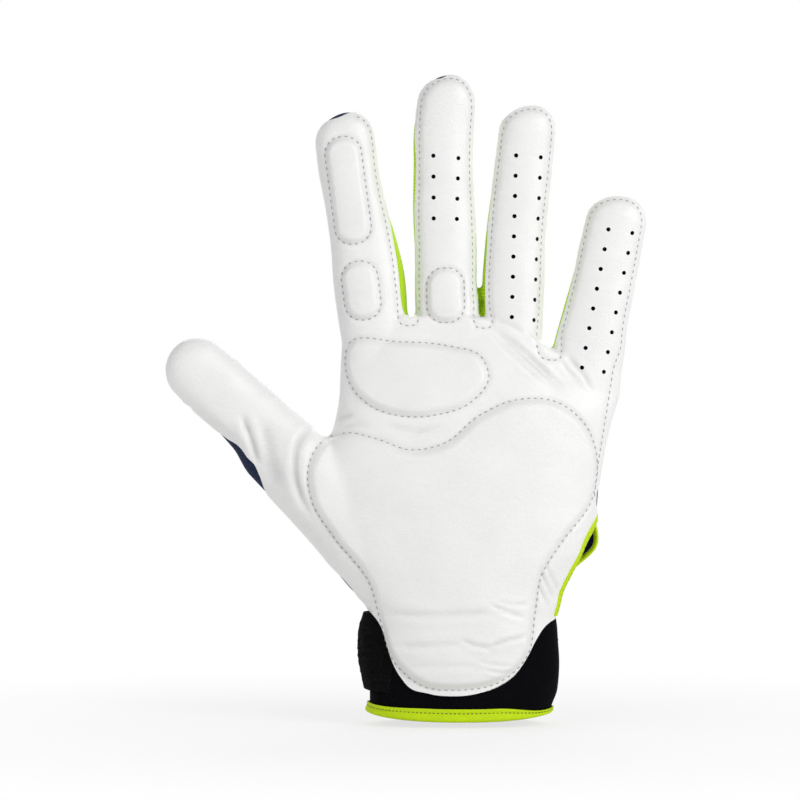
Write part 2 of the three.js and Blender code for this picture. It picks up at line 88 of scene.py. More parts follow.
# Each digit: base crease (x, z), lean in degrees, distance to the middle crease, length, curl of the tip to the
# palm side, sides that carry a lime strip, and stations of (along, sideways, half width, half depth).
DIGITS = {
    "thumb": dict(at=(-63.8, 99.6), lean=-49.4, bend=27, tip=60.8, curl=7, lime=(), stations=[
        [-50, -9, 14, 15], [-25, -3, 15.6, 15], [0, 0.4, 16, 13.2], [20, 1.4, 14.8, 11.8], [36, 2.8, 13.6, 11],
        [48.5, 3.6, 12.6, 10]]),
    "index": dict(at=(-32.4, 153.2), lean=-7.6, bend=25.2, tip=79.2, curl=6, lime=(1,), stations=[
        [-16, 0, 12.4, 10.5], [0, 0.5, 13.5, 11], [16, 0.9, 13.9, 11], [28, 0.7, 12.9, 10.6],
        [45, -0.7, 11.6, 10.2], [58, -1.4, 11.6, 9.8], [68, -1.2, 11.6, 9.2]]),
    "middle": dict(at=(-3.6, 153.2), lean=-0.6, bend=30.6, tip=92.6, curl=7, lime=(-1, 1), stations=[
        [-16, 0, 12.2, 10.5], [0, -0.4, 12.4, 11], [14, -0.9, 12.1, 11], [24, -0.9, 12.1, 10.8],
        [41, -1.4, 12.2, 10.4], [58, -1.5, 11.7, 10], [72, -1.1, 11.8, 9.8], [81, 0, 11.2, 9.4]]),
    "ring": dict(at=(21.8, 152.8), lean=4, bend=27.4, tip=81.8, curl=6, lime=(-1, 1), stations=[
        [-16, -0.4, 11, 10.5], [0, -1, 11.5, 10.8], [14, -1.9, 12.1, 10.6], [24, -2.2, 11.9, 10.4],
        [41, -2, 11.5, 10], [58, -1, 11.2, 9.6], [71, -0.5, 10.9, 9]]),
    "little": dict(at=(47.6, 139.9), lean=12.1, bend=20.4, tip=62, curl=5, lime=(-1,), stations=[
        [-14, 1.9, 13.3, 10], [0, 1.7, 14, 10.2], [14, 1.3, 12.9, 9.8], [30, 1.6, 12.2, 9.2], [43, 1.5, 11.9, 8.8],
        [51.5, 1.5, 11.5, 8.4]]),
}
FINGERS = ("index", "middle", "ring", "little")
TIP_LEAN = {"thumb": 0, "index": 2, "middle": 1.4, "ring": 2, "little": 1.6}  # how far a tip leans to the right
EYE = dict(x=-22.0, z=122.4, distance=1300.0)  # where the camera stands in front of the palm plane


def smooth_curve(keys, values, at):
    """A smooth curve through given values, with slopes from the neighbours."""
    keys, values = np.asarray(keys, float), np.asarray(values, float)
    slope = np.gradient(values, keys)
    at = np.clip(np.asarray(at, float), keys[0], keys[-1])
    i = np.clip(np.searchsorted(keys, at) - 1, 0, len(keys) - 2)
    step = keys[i + 1] - keys[i]
    t = (at - keys[i]) / step
    start = (1 + 2 * t) * (1 - t) ** 2 * values[i] + t * (1 - t) ** 2 * step * slope[i]
    return start + t * t * (3 - 2 * t) * values[i + 1] + t * t * (t - 1) * step * slope[i + 1]


def ease(low, high, at):
    """0 before low, 1 after high and smooth between them. low may be the larger one."""
    t = np.clip((np.asarray(at, float) - low) / (high - low), 0, 1)
    return t * t * (3 - 2 * t)


def bell(distance, width):
    """1 at a distance of 0, and smoothly down to almost 0 at twice the width."""
    return np.exp(-((distance / width) ** 2))


def superellipse(turn, half_width, front, back, square):
    """Points of a rounded section: x across and y in depth, for angles from +x towards the back."""
    c, s = np.cos(turn), np.sin(turn)
    depth = np.where(s < 0, front, back)
    x = np.sign(c) * half_width * np.abs(c) ** (2 / square)
    return x, np.sign(s) * depth * np.abs(s) ** (2 / square)


def hand_measure(column, z):
    """The palm's left (1), right (2), front (3), back (4), squareness (5) or knuckle share (6) at a height."""
    return smooth_curve(HAND[:, 0], HAND[:, column], z)


def station(digit, column, along):
    """A digit's sideways shift (1), half width (2) or half depth (3) at a distance along it."""
    table = np.array(DIGITS[digit]["stations"], float)
    return smooth_curve(table[:, 0], table[:, column], along)


def axes(digit):
    """A digit's base point, the direction across it and the direction along it, in the plane of the palm."""
    spec = DIGITS[digit]
    lean = math.radians(spec["lean"])
    across = np.array([math.cos(lean), 0, -math.sin(lean)])
    along = np.array([math.sin(lean), 0, math.cos(lean)])
    return np.array([spec["at"][0], 0, spec["at"][1]]), across, along


def in_digit(digit, points):
    """Across and along coordinates of points in a digit's frame."""
    base, across, along = axes(digit)
    return (points - base) @ across, (points - base) @ along


def curl(digit, along):
    """How far a digit's middle line lies behind the palm plane, minus to the palm side."""
    return -DIGITS[digit]["curl"] * np.clip(along / DIGITS[digit]["tip"], 0, None) ** 2


def seen_at(points, depth):
    """Points measured in the picture, moved to where they lie on a surface nearer to the camera by a depth."""
    middle = np.array([EYE["x"], EYE["z"]])
    return middle + (np.asarray(points, float) - middle) * (1 - depth / EYE["distance"])


for name in DIGITS:
    print(name, "is", DIGITS[name]["tip"], "mm long from its base crease")

# %% [markdown]
# ## One skin for the whole hand
# Five tubes and a palm could be joined with booleans, but their edges would stay hard. A voxel remesh instead melts
# overlapping closed shapes into one even skin, and a smooth pass rounds the crotches as stretched leather does.
# Each shape starts as a circle of vertices that is set to a section, and bridging joins section to section.

# %% Loft the palm and the digits
VOXEL = 0.62
SKIN_STEPS = 14  # smooth steps after the remesh
PALM_SIDES, PALM_LEVELS = 96, 54  # corners of a palm section, and how many sections there are
DIGIT_SIDES, DIGIT_LEVELS, DOME_LEVELS = 48, 30, 12  # the same for a digit and for the dome of its tip
SQUARE = 2.3  # squareness of the digits and of the wrist, where 2 would be an ellipse


def loft(rings):
    """A closed mesh through a list of rings of points, bridged one to the next and capped at both ends."""
    bm = bmesh.new()
    loops = []
    for ring in rings:
        circle = bmesh.ops.create_circle(bm, cap_ends=False, segments=len(ring), radius=1)["verts"]
        for vert, point in zip(circle, ring):
            vert.co = point
        loops.append(list({edge for vert in circle for edge in vert.link_edges}))
    for before, after in zip(loops, loops[1:]):
        bmesh.ops.bridge_loops(bm, edges=before + after)
    bmesh.ops.holes_fill(bm, edges=bm.edges, sides=0)
    bmesh.ops.recalc_face_normals(bm, faces=bm.faces)
    return bm


def hand_rings():
    """Sections of the palm and wrist, from the hem to the knuckles, and a few that close the top."""
    turn = np.linspace(0, 2 * np.pi, PALM_SIDES, endpoint=False)
    rings = []
    for z in np.linspace(HAND[0, 0], HAND[-1, 0], PALM_LEVELS):
        left, right, front, back, square, arch = (hand_measure(k, z) for k in range(1, 7))
        x, y = superellipse(turn, (right - left) / 2, front, back, square)
        x = x + (left + right) / 2
        crest = np.interp(x, KNUCKLE_X, KNUCKLE_Z) - KNUCKLE_TOP
        rings.append(np.column_stack([x, y, z + arch * crest]))
    return rings + [rings[-1] * [1, shrink, 1] for shrink in (0.8, 0.5, 0.2, 0.03)]


def digit_rings(digit):
    """Sections of a digit from its root to its tip, in the hand's frame."""
    spec = DIGITS[digit]
    base, across, along = axes(digit)
    turn = np.linspace(0, 2 * np.pi, DIGIT_SIDES, endpoint=False)
    root, neck = spec["stations"][0][0], spec["stations"][-1][0]
    places = [(w, 0.0) for w in np.linspace(root, neck, DIGIT_LEVELS)]
    places += [(neck + (spec["tip"] - neck) * math.sin(k), k) for k in np.linspace(0, np.pi / 2, DOME_LEVELS)[1:-1]]
    rings = []
    for w, dome in places:
        side, half_width, half_depth = (float(station(digit, k, min(w, neck))) for k in (1, 2, 3))
        shrink, lean = math.cos(dome), TIP_LEAN[digit] * math.sin(dome) ** 2
        x, y = superellipse(turn, half_width * shrink, half_depth * shrink, half_depth * shrink, SQUARE)
        flat = base + np.outer(x + side + lean, across) + w * along
        flat[:, 1] += y + curl(digit, w)
        rings.append(flat)
    return rings


def new_object(name, data):
    """An object of the scene that shows a mesh, a camera or a light."""
    obj = bpy.data.objects.new(name, data)
    bpy.context.scene.collection.objects.link(obj)
    return obj


def object_from(name, bm):
    """Turns a bmesh into an object of the scene."""
    mesh = bpy.data.meshes.new(name)
    bm.to_mesh(mesh)
    bm.free()
    return new_object(name, mesh)


def finish_with(obj, *modifiers):
    """Adds modifiers given as (type, settings), applies them all and removes them."""
    for kind, settings in modifiers:
        modifier = obj.modifiers.new(kind.title(), kind)
        for key, value in settings.items():
            setattr(modifier, key, value)
    graph = bpy.context.evaluated_depsgraph_get()
    mesh = bpy.data.meshes.new_from_object(obj.evaluated_get(graph))
    obj.modifiers.clear()
    obj.data = mesh


union = bmesh.new()
for rings in [hand_rings()] + [digit_rings(digit) for digit in DIGITS]:
    part = bpy.data.meshes.new("part")
    loft(rings).to_mesh(part)
    union.from_mesh(part)
skin = object_from("skin", union)
finish_with(skin, ("REMESH", dict(mode="VOXEL", voxel_size=VOXEL)),
            ("SMOOTH", dict(factor=0.5, iterations=SKIN_STEPS)))
print("skin faces:", len(skin.data.polygons))

# %% Relax the webs
# Where the thumb grows out of the palm, two forms meet in a crease. A second smooth pass, weighted along that line
# and at the finger crotches, turns the crease into a stretched web.
WEB_LINE = np.array([(-46, 114), (-46.5, 106), (-44.5, 94), (-42, 80), (-40, 66), (-39, 52)], float)
WEB_WIDTH = 11
CROTCH_SPOTS = {
    ("index", "middle"): (-18.7, 153.6), ("middle", "ring"): (9.7, 152.6), ("ring", "little"): (35.6, 140.4)}
# round spots that relax too: place, weight and radius, and last the little finger's root
WEB_SPOTS = [(spot, 0.1, 5) for spot in CROTCH_SPOTS.values()] + [((61, 134), 0.7, 8)]
WEB_STEPS, WEB_LEVELS = 150, 20  # smooth steps, and steps of weight


def read(items, name, width=3, kind=float):
    """One property of all vertices, corners or faces as an array, with a row for each of them."""
    values = np.empty(width * len(items), kind)
    items.foreach_get(name, values)
    return values.reshape(-1, width) if width > 1 else values


def get_points(mesh):
    return read(mesh.vertices, "co")


def set_points(mesh, points):
    mesh.vertices.foreach_set("co", np.ascontiguousarray(points, float).ravel())
    mesh.update()


def line_distance(points, line):
    """Distance of each point to a line of points, and how far along the line (0 to 1) the nearest place is."""
    best = np.full(len(points), 1e9)
    place = np.zeros(len(points))
    for k, (a, b) in enumerate(zip(line[:-1], line[1:])):
        edge = b - a
        t = np.clip(((points - a) @ edge) / max(edge @ edge, 1e-12), 0, 1)
        gap = np.hypot(*(points - a - t[:, None] * edge).T)
        nearer = gap < best
        best[nearer] = gap[nearer]
        place[nearer] = (k + t[nearer]) / (len(line) - 1)
    return best, place


flat = get_points(skin.data)[:, [0, 2]]
web = bell(line_distance(flat, WEB_LINE)[0], WEB_WIDTH)
for (x, z), weight, radius in WEB_SPOTS:
    web = np.maximum(web, weight * bell(np.hypot(flat[:, 0] - x, flat[:, 1] - z), radius))
group = skin.vertex_groups.new(name="web")
for level in range(1, WEB_LEVELS + 1):  # vertex groups take one weight for a whole list of vertices
    members = np.flatnonzero(np.round(web * WEB_LEVELS) == level)
    group.add(members.tolist(), level / WEB_LEVELS, "REPLACE")
finish_with(skin, ("SMOOTH", dict(factor=0.5, iterations=WEB_STEPS, vertex_group="web")))
skin.vertex_groups.clear()
print("relaxed vertices:", int((web > 0.03).sum()))

# %% [markdown]
# ## Outlines of the pads
# Under the leather lie foam pads, and their stitched outlines are the glove's most telling feature. The two pads of
# the palm have free outlines, drawn through a few points by a smooth closed curve. The pads of the fingers are
# rectangles with round corners, in the frame of their finger.

# %% Outlines of the pads
PALM_PAD = [
    (-51.6, 106.8), (-42.5, 109.8), (-31, 107.6), (-18, 103.4), (-5, 106), (8, 116.4), (22, 122.4), (38, 121.6),
    (49.5, 112), (53.8, 97), (51.5, 84), (40, 68.4), (32, 55.5), (29.5, 41), (26.4, 24.8), (16, 15.3), (1, 12.3),
    (-14, 13.9), (-24.4, 22.8), (-29.5, 38), (-34, 53), (-47, 69.5), (-55.8, 84), (-57, 97)]
KNUCKLE_PAD = [
    (-42, 143.4), (-22, 144.6), (-3, 142.9), (8.6, 139.2), (11.8, 131), (5, 121.6), (-8, 116.8), (-21, 116.2),
    (-34, 120.6), (-41.4, 129), (-43, 138)]
FREE_PADS = {"palm_pad": (PALM_PAD, 20), "knuckle_pad": (KNUCKLE_PAD, 16)}  # outline, and depth before the palm plane
# finger pads: digit, middle (across, along), size and corner radius
FINGER_PADS = {
    "index_tip_pad": ("index", (-2.8, 49.6), (14, 41), 6.4),
    "index_base_pad": ("index", (-2.9, 11.3), (14, 22.5), 6.4),
    "middle_base_pad": ("middle", (-1.0, 9.0), (14.4, 20.8), 6.4),
}
FINGER_PAD_DEPTH, FINGER_PAD_PITCH = 11, 1.2


def run_along(line):
    """Distance from the start of a line to each of its points."""
    return np.r_[0, np.cumsum(np.hypot(*np.diff(line, axis=0).T))]


def even(line, pitch):
    """A line resampled to equal steps of about the given pitch, ends kept."""
    run = run_along(line)
    steps = max(2, int(round(run[-1] / pitch)))
    at = np.linspace(0, run[-1], steps + 1)
    return np.column_stack([np.interp(at, run, line[:, k]) for k in (0, 1)])


def through(points, pitch):
    """A smooth open line through points, as evenly spaced points."""
    points = np.array(points, float)
    run = run_along(points)
    at = np.linspace(0, run[-1], int(run[-1] / 0.4))
    return even(np.column_stack([smooth_curve(run, points[:, k], at) for k in (0, 1)]), pitch)


def closed_curve(points, pitch=1.5):
    """A smooth closed outline through points, as evenly spaced points."""
    ring = np.array(points, float)
    wrapped = np.vstack([ring[-3:], ring, ring[:4]])
    run = run_along(wrapped)
    fine = np.linspace(run[3], run[3 + len(ring)], 1200)
    dense = np.column_stack([smooth_curve(run, wrapped[:, k], fine) for k in (0, 1)])
    return even(dense, pitch)[:-1]


def rounded_rectangle(middle, size, corner):
    """A rectangle with round corners, as a closed list of points."""
    points = []
    for side_x, side_z, start in ((1, 1, 0), (-1, 1, 90), (-1, -1, 180), (1, -1, 270)):
        for turn in np.radians(np.linspace(start, start + 90, 9)):
            x = middle[0] + side_x * (size[0] / 2 - corner) + corner * math.cos(turn)
            points.append((x, middle[1] + side_z * (size[1] / 2 - corner) + corner * math.sin(turn)))
    return points


def to_palm(digit, points):
    """Points of a digit's own plane, (across, along), in the palm plane, (x, z)."""
    base, across, along = axes(digit)
    points = np.array(points, float)
    place = base + np.outer(points[:, 0], across) + np.outer(points[:, 1], along)
    return place[:, [0, 2]]


PAD_OUTLINES = {pad: closed_curve(seen_at(points, depth)) for pad, (points, depth) in FREE_PADS.items()}
for pad, (digit, middle, size, corner) in FINGER_PADS.items():
    ring = seen_at(to_palm(digit, rounded_rectangle(middle, size, corner)), FINGER_PAD_DEPTH)
    PAD_OUTLINES[pad] = even(np.vstack([ring, ring[:1]]), FINGER_PAD_PITCH)[:-1]
for pad, ring in PAD_OUTLINES.items():
    print(pad, "outline points:", len(ring))

# %% [markdown]
# ## Seams
# The leather meets the back along the edge of the hand, and between the fingers a lime strip lies between them. From
# the palm, a seam is a depth for every place of the outline: this far towards the back the leather reaches, and from
# there on the next cloth begins. Single values along each finger say where its strips start, and the vent, the lens
# of navy under the thumb and two slivers beside the palm are places where the leather stops short.

# %% Where the seams run
SEAM = 3.0  # depth of the seam between leather and back
STRIP_BACK = 6.0  # depth of a lime strip's back edge
# front edge of the lime strips: (along, depth) for each finger side
STRIP_FRONT = {
    ("index", 1): [(-4, -5.5), (6, -7.2), (24, -6.6), (40, -4), (60, -2)],
    ("middle", -1): [(-4, -3), (8, -2.6), (24, -4), (40, -5), (78, -4.8)],
    ("middle", 1): [(-4, -4.5), (10, -3), (30, -1.5), (70, -1)],
    ("ring", -1): [(-4, -5), (10, -5.6), (36, -4.6), (60, -1)],
    ("ring", 1): [(-14, -4), (0, -2.5), (30, -1.5), (60, -1)],
    ("little", -1): [(-4, -4.5), (10, -4.4), (30, -3), (45, -2)],
}
TIP_SEAM = 2.0  # seam depth over the fingertips
# depth, place across and half width where the back shows over a fingertip
CRESCENTS = {"index": (-5.5, -2.8, 8.4), "middle": (-4.6, -2.0, 5.2)}
# along the thumb's lower edge: distance and depth
THUMB_EDGE = [
    (-8, 3), (-6, 2), (-4, -1.5), (1, -7), (7, -9.8), (13.7, -9.8), (19, -8), (24, -5.6), (29, -3.2), (32.5, 0),
    (35, 2), (38, 1), (41.5, -4), (45, 0), (49, 3)]
VENT = dict(top=76.4, widest=60.6, front=11.0, back=4.6)  # heights, and how far it opens to the front and to the back
# navy slivers beside the palm: depth, heights between which it grows and between which it fades
ULNAR_SLIVER, THENAR_SLIVER = (9.0, (76, 83), (99, 86)), (9.4, (43, 51), (66, 54))
VENT_SIDE, THENAR_SIDE = 15, -25  # x beyond which a place is on the little finger's side or on the thumb's side
FINGER_ROOT, FINGER_SHARE = -24, 1.6  # how far down and, in half widths, to the side a finger's own skin reaches
THUMB_SIDE = 19  # how far to the side the thumb's own skin reaches


def upright(points):
    """Points (x, z) of the palm plane as points in space."""
    return np.column_stack([points[:, 0], np.zeros(len(points)), points[:, 1]])


def finger_of(points):
    """Index of the finger that each point of the palm plane belongs to, and its place across and along it."""
    best, owner = np.full(len(points), 1e9), np.full(len(points), -1)
    across, along = np.zeros(len(points)), np.zeros(len(points))
    for k, digit in enumerate(FINGERS):
        u, w = in_digit(digit, upright(points))
        share = np.abs(u - station(digit, 1, w)) / station(digit, 2, w)
        mine = (share < best) & (w > FINGER_ROOT) & (share < FINGER_SHARE)
        best[mine], owner[mine], across[mine], along[mine] = share[mine], k, u[mine], w[mine]
    return owner, across, along


def vent_open(z):
    """How far the vent is open at a height: 1 up to its widest place and 0 at its top."""
    reach = np.clip((z - VENT["widest"]) / (VENT["top"] - VENT["widest"]), 0, 1)
    return (1 - reach**3) ** (1 / 3)


def finger_seams(digit, u, w):
    """Depths of the leather's edge and of the back's edge at places across and along one finger."""
    neck = DIGITS[digit]["stations"][-1][0]
    tip_depth = TIP_SEAM
    if digit in CRESCENTS:
        depth, at, half = CRESCENTS[digit]
        tip_depth = TIP_SEAM + (depth - TIP_SEAM) * bell(u - at, half) * ease(neck, neck + 5, w)
    plain = SEAM + (tip_depth - SEAM) * ease(neck - 6, neck + 4, w)
    edge = np.full(len(u), SEAM)
    for side in DIGITS[digit]["lime"]:
        keys, values = np.array(STRIP_FRONT[(digit, side)], float).T
        both = len(DIGITS[digit]["lime"]) == 2
        toward = (side * u > 0) * 1.0 if both else ease(-2.5, 2.5, side * u)
        edge = edge + toward * (smooth_curve(keys, values, w) - edge)
    share = ease(neck + 4, neck - 8, w)
    widened = np.clip((SEAM - edge) / 4, 0, 1) * (STRIP_BACK - SEAM)
    return plain + share * (edge - SEAM) + curl(digit, w), plain + share * widened + curl(digit, w)


def sliver(spec, z):
    """How much further to the front a sliver of the back reaches at a height."""
    depth, grow, fade = spec
    return depth * ease(*grow, z) * ease(*fade, z)


def seam_depths(points):
    """Depth of the leather's edge and of the back panel's edge at each point (x, z) of the palm plane."""
    x, z = points[:, 0], points[:, 1]
    front, back = np.full(len(points), SEAM), np.full(len(points), SEAM)
    owner, across, along = finger_of(points)
    for k, digit in enumerate(FINGERS):
        mine = owner == k
        front[mine], back[mine] = finger_seams(digit, across[mine], along[mine])
    beside = (x > VENT_SIDE) & (owner < 0)
    vent = beside & (z < VENT["top"])
    front[vent] -= VENT["front"] * vent_open(z[vent])
    back[vent] += VENT["back"] * vent_open(z[vent])
    u, w = in_digit("thumb", upright(points))
    on_thumb = (w > THUMB_EDGE[0][0]) & (np.abs(u) < THUMB_SIDE)
    keys, values = np.array(THUMB_EDGE, float).T
    lens = np.where(on_thumb & (u < 0), SEAM - smooth_curve(keys, values, w), 0)
    slivers = sliver(ULNAR_SLIVER, z) * beside + sliver(THENAR_SLIVER, z) * (x < THENAR_SIDE)
    shift = slivers + lens - np.where(on_thumb, curl("thumb", w), 0)
    return front - shift, back - shift


sample = np.array([[-20, 170.0], [55, 60.0], [-75, 98.0]])
print("seam depths:", [tuple(np.round(pair, 1)) for pair in zip(*seam_depths(sample))])

# %% [markdown]
# ## Rows of stitches
# One row of stitches runs along the leather's edge from the tip of the index finger, up and down every other finger
# and in a bow under each crotch, and one more follows the outline of every pad. All are lines in the palm plane, so
# they can press a groove into the leather first and carry the thread later.

# %% Lines of the stitches
EDGE_GAP = 1.7  # from a panel's edge to its row of stitches
CROTCH_DROP = 2.6  # from a crotch down to the row under it
CROTCH_HALF = 2.4  # half the width of that bow
ROW_START = 14  # point of the index finger's line, just right of its tip, where the row begins
ROW_FOOT = 6  # distance along a finger where its line begins and ends
ROW_DEPTH, ROW_PITCH = 7, 0.5  # the row's depth before the palm plane, and the step of its points


def leather_reach(digit, side, w):
    """How far to one side the leather of a digit reaches, seen from the palm, at distances along it."""
    half_width, half_depth = station(digit, 2, w), station(digit, 3, w)
    shift = station(digit, 1, w)
    place = to_palm(digit, np.column_stack([shift + side * half_width * 0.98, w]))
    drop = np.clip(-(seam_depths(place)[0] - curl(digit, w)), 0, None) / half_depth
    return shift + side * half_width * (1 - np.clip(drop, 0, 0.95) ** SQUARE) ** (1 / SQUARE)


def finger_line(digit):
    """The row of stitches up one side of a finger, round its tip and down the other side, in the palm plane."""
    neck, tip = DIGITS[digit]["stations"][-1][0], DIGITS[digit]["tip"]
    up, down = np.linspace(ROW_FOOT, neck, 9), np.linspace(neck, ROW_FOOT, 9)
    left = leather_reach(digit, -1, up) + EDGE_GAP
    right = leather_reach(digit, 1, down) - EDGE_GAP
    middle, half = (left[-1] + right[0]) / 2, (right[0] - left[-1]) / 2
    turn = np.linspace(np.pi, 0, 11)[1:-1]
    crown = np.column_stack([middle + half * np.cos(turn) + TIP_LEAN[digit] * np.sin(turn) ** 2,
                             neck + (tip - neck - EDGE_GAP) * np.sin(turn)])
    return to_palm(digit, np.vstack([np.column_stack([left, up]), crown, np.column_stack([right, down])]))


def palm_edge(side, z):
    """Places just inside the palm's left (-1) or right (1) edge."""
    return np.column_stack([hand_measure(1 if side < 0 else 2, z) - side * EDGE_GAP, z])


edge_row = []
for digit in FINGERS:
    for (before, after), (x, z) in CROTCH_SPOTS.items():
        if after == digit:
            edge_row.append(np.array([(x - CROTCH_HALF, z - CROTCH_DROP), (x + CROTCH_HALF, z - CROTCH_DROP)]))
    edge_row.append(finger_line(digit)[ROW_START if digit == "index" else 0:])
edge_row.append(palm_edge(1, np.linspace(134, 84, 8)))
thread_lines = {"edge": through(seen_at(np.vstack(edge_row), ROW_DEPTH), ROW_PITCH)}
for pad, ring in PAD_OUTLINES.items():
    thread_lines[pad] = np.vstack([ring, ring[:1]])
for name, line in thread_lines.items():
    print(name, "row: %.0f mm" % run_along(line)[-1])

# %% [markdown]
# ## Pads, folds and grooves
# A pad could be a separate lump laid on top, but the real leather runs over it in one piece, so the skin itself is
# lifted inside each outline, with a groove where the thread pulls it down. Folds are drawn the same way: as lines in
# the palm plane that press a soft valley into the skin, with a low ridge beside it. The depth of every valley is kept
# as an attribute, and the finish later uses it to paint shade into the creases and grooves: painted shade, not a
# colour of the leather.

# %% Distances to outlines


def inside(points, ring):
    """Whether each point lies inside a closed outline, by counting crossings."""
    crossings = np.zeros(len(points), int)
    for a, b in zip(ring, np.roll(ring, -1, axis=0)):
        spans = (a[1] > points[:, 1]) != (b[1] > points[:, 1])
        rise = b[1] - a[1] if b[1] != a[1] else 1e-12
        crossings += spans & (points[:, 0] < a[0] + (points[:, 1] - a[1]) * (b[0] - a[0]) / rise)
    return crossings % 2 == 1


def depth_inside(points, ring):
    """Distance to a closed outline, plus inside it and minus outside."""
    gap, _ = line_distance(points, np.vstack([ring, ring[:1]]))
    return np.where(inside(points, ring), gap, -gap)


middle_gap = depth_inside(np.array([[0.0, 80.0]]), PAD_OUTLINES["palm_pad"])[0]
print("palm pad: %.1f mm from its middle to its outline" % middle_gap)

# %% Lift the pads and press the folds
# rise of each pad and the width of its rounded edge
FINGER_PAD_RISE = (1.6, 2.6)
PAD_RISE = {"palm_pad": (2.0, 3.4), "knuckle_pad": (1.8, 3.0), **{pad: FINGER_PAD_RISE for pad in FINGER_PADS}}
GROOVE = (0.55, 0.9)  # depth and half width of the stitched groove round a pad
EDGE_GROOVE = (0.3, 0.9)  # the same for the row along the leather's edge
# how much painted shade greys the two grooves, as shares of a deep crease
GROOVE_SHADE, EDGE_GROOVE_SHADE = 0.5, 0.35
# folds in the palm plane: points, depth and half width
FOLDS = [
    ([(13, 153.6), (20, 151), (27, 147)], 0.45, 0.9),
    ([(11, 151), (20, 143.6), (31, 134.2), (41, 125.2)], 0.5, 2.2),
    ([(10.5, 151.6), (17.5, 145.8), (25.8, 138.9), (33.4, 132.1), (42, 124.4)], 0.65, 0.8),
    ([(14.5, 150), (23.6, 142.7), (32.7, 134.4), (41.5, 126.4)], 0.5, 0.7),
    ([(9.6, 150.4), (18.2, 142), (27.4, 133.6), (38, 125.8)], 0.45, 0.7),
    ([(39.6, 141.2), (46.4, 133.6), (52.4, 124.4)], 0.6, 0.9),
    ([(38, 139), (44.1, 131.3), (51, 125)], 0.5, 0.8),
    ([(-30, 41.6), (-8, 41.2), (8, 42), (20, 43)], 0.6, 1.3),
    ([(11, 45), (17, 42.6), (25.5, 39.6)], 0.6, 0.8),
    ([(13, 46), (20, 44.8), (27, 45)], 0.4, 0.7),
    ([(-26, 28.7), (-6, 29.7), (6, 30.4)], 0.45, 1.2),
    ([(0, 31.8), (6, 29.9), (14, 27.8)], 0.6, 0.8),
    ([(9, 28.2), (17.5, 31.2), (27, 33.2)], 0.6, 0.8),
    ([(-20.1, 20.9), (-3, 22), (12, 21)], 0.3, 1.1),
    ([(6, 24), (14, 22.2), (21, 21.8)], 0.35, 0.6),
    ([(9, 20.8), (16, 19.2), (22, 19.6)], 0.35, 0.6),
    ([(30.2, 60), (33.8, 52), (37.6, 44.6)], 0.5, 0.7),
    ([(32.4, 61), (36, 54.5), (38.8, 48.6)], 0.45, 0.7),
    ([(30.4, 52.6), (32.8, 47.4), (35.4, 42.6)], 0.45, 0.7),
    ([(-83, 118.5), (-79, 108), (-75.5, 96)], 1.3, 1.2),
    ([(-76, 118), (-72, 106), (-70, 95), (-66, 84)], 0.8, 3.0),
    ([(-49, 112.4), (-56, 111.5), (-60.6, 106), (-62, 97), (-60, 86), (-54, 75)], 1.0, 1.3),
    ([(-47.5, 113.5), (-44, 116), (-39, 117.2)], 0.6, 1.2),
    ([(-46.5, 110.8), (-40, 112.8), (-32, 112.4)], 0.5, 1.1),
    ([(-30, 112.6), (-14, 110.6), (-4, 112.8)], 0.5, 1.4),
]
FOLD_DEPTH = 16  # depth of the folds before the palm plane
VENT_BOW = dict(at=67.4, length=6.8, out=4.4, tuck=1.0)  # the vent's back edge bows out and its front edge tucks in
CORNER_TUCK = (1.5, 0.5)  # how far the leather's lower left and right corners lie in on the cuff
SLACK = 1.4  # how far the skin draws in under the vent
WEB_RISE = 9.0  # how far the web between middle and ring finger rises at the back
KNUCKLE_SWELL = 1.1
JOINT_FOLDS, JOINT_DEPTH = (-3.8, 0.0, 3.6), 0.4  # places and depth of the small folds across the back of a joint
THUMB_WAIST = 2.3  # how far the thumb's lower edge draws in beside its crease
LUMPS = 0.6  # share of the slow swell


def fold_lift(points, line, depth, width):
    """A valley along a line with a low ridge beside it, fading at both ends, and the valley's share of its depth,
    which becomes painted shade in the leather's colour.
    """
    gap, place = line_distance(points, through(line, 1.5))
    fade = ease(0, 0.3, place) * ease(1, 0.7, place)
    valley = bell(gap, width)
    ridge = 0.35 * bell(gap - 2.4 * width, 1.4 * width)
    return fade * depth * (ridge - valley), fade * valley * min(1, depth)


def lumps(points):
    """A slow uneven swell, as leather over a hand has."""
    swell = np.zeros(len(points))
    for across, up, phase, height in ((0.21, 0.13, 0.4, 0.16), (-0.12, 0.24, 1.9, 0.14), (0.33, -0.18, 3.1, 0.09),
                                      (0.09, 0.41, 5.2, 0.08)):
        swell += height * np.sin(across * points[:, 0] + up * points[:, 1] + phase)
    return swell


def near(points, line, margin):
    """Whether points lie within a margin of the box round a line."""
    return np.all((points > np.min(line, 0) - margin) & (points < np.max(line, 0) + margin), axis=1)


places, normals = get_points(skin.data), read(skin.data.vertices, "normal")
x, y, z = places.T
u, w = in_digit("thumb", places)
bow = (x > VENT_SIDE) * bell(z - VENT_BOW["at"], VENT_BOW["length"])
out = VENT_BOW["out"] * ease(2, 7, y) * ease(20, 11, y)
places[:, 0] += bow * (out - VENT_BOW["tuck"] * ease(-13, -7, y) * ease(5, 1, y))
slack = SLACK * ease(44, 50, z) * ease(66, 57, z) * (1 + 0.6 * ease(0, 6, y))
places[:, 0] -= ease(20, 36, x) * (CORNER_TUCK[1] * ease(50, 43, z) + slack)
places[:, 0] += ease(-20, -34, x) * CORNER_TUCK[0] * ease(51, 44, z) * ease(39, 43, z)
between = bell(x - CROTCH_SPOTS[("middle", "ring")][0] - 2.0, 3.4)
places[:, 2] += WEB_RISE * between * ease(-5, 2, y) * ease(146, 151, z) * ease(172, 153, z)
waist = THUMB_WAIST * ease(8, 20, w) * ease(46, 24, w) * ease(-4, -11, u) * (np.abs(u) < THUMB_SIDE)
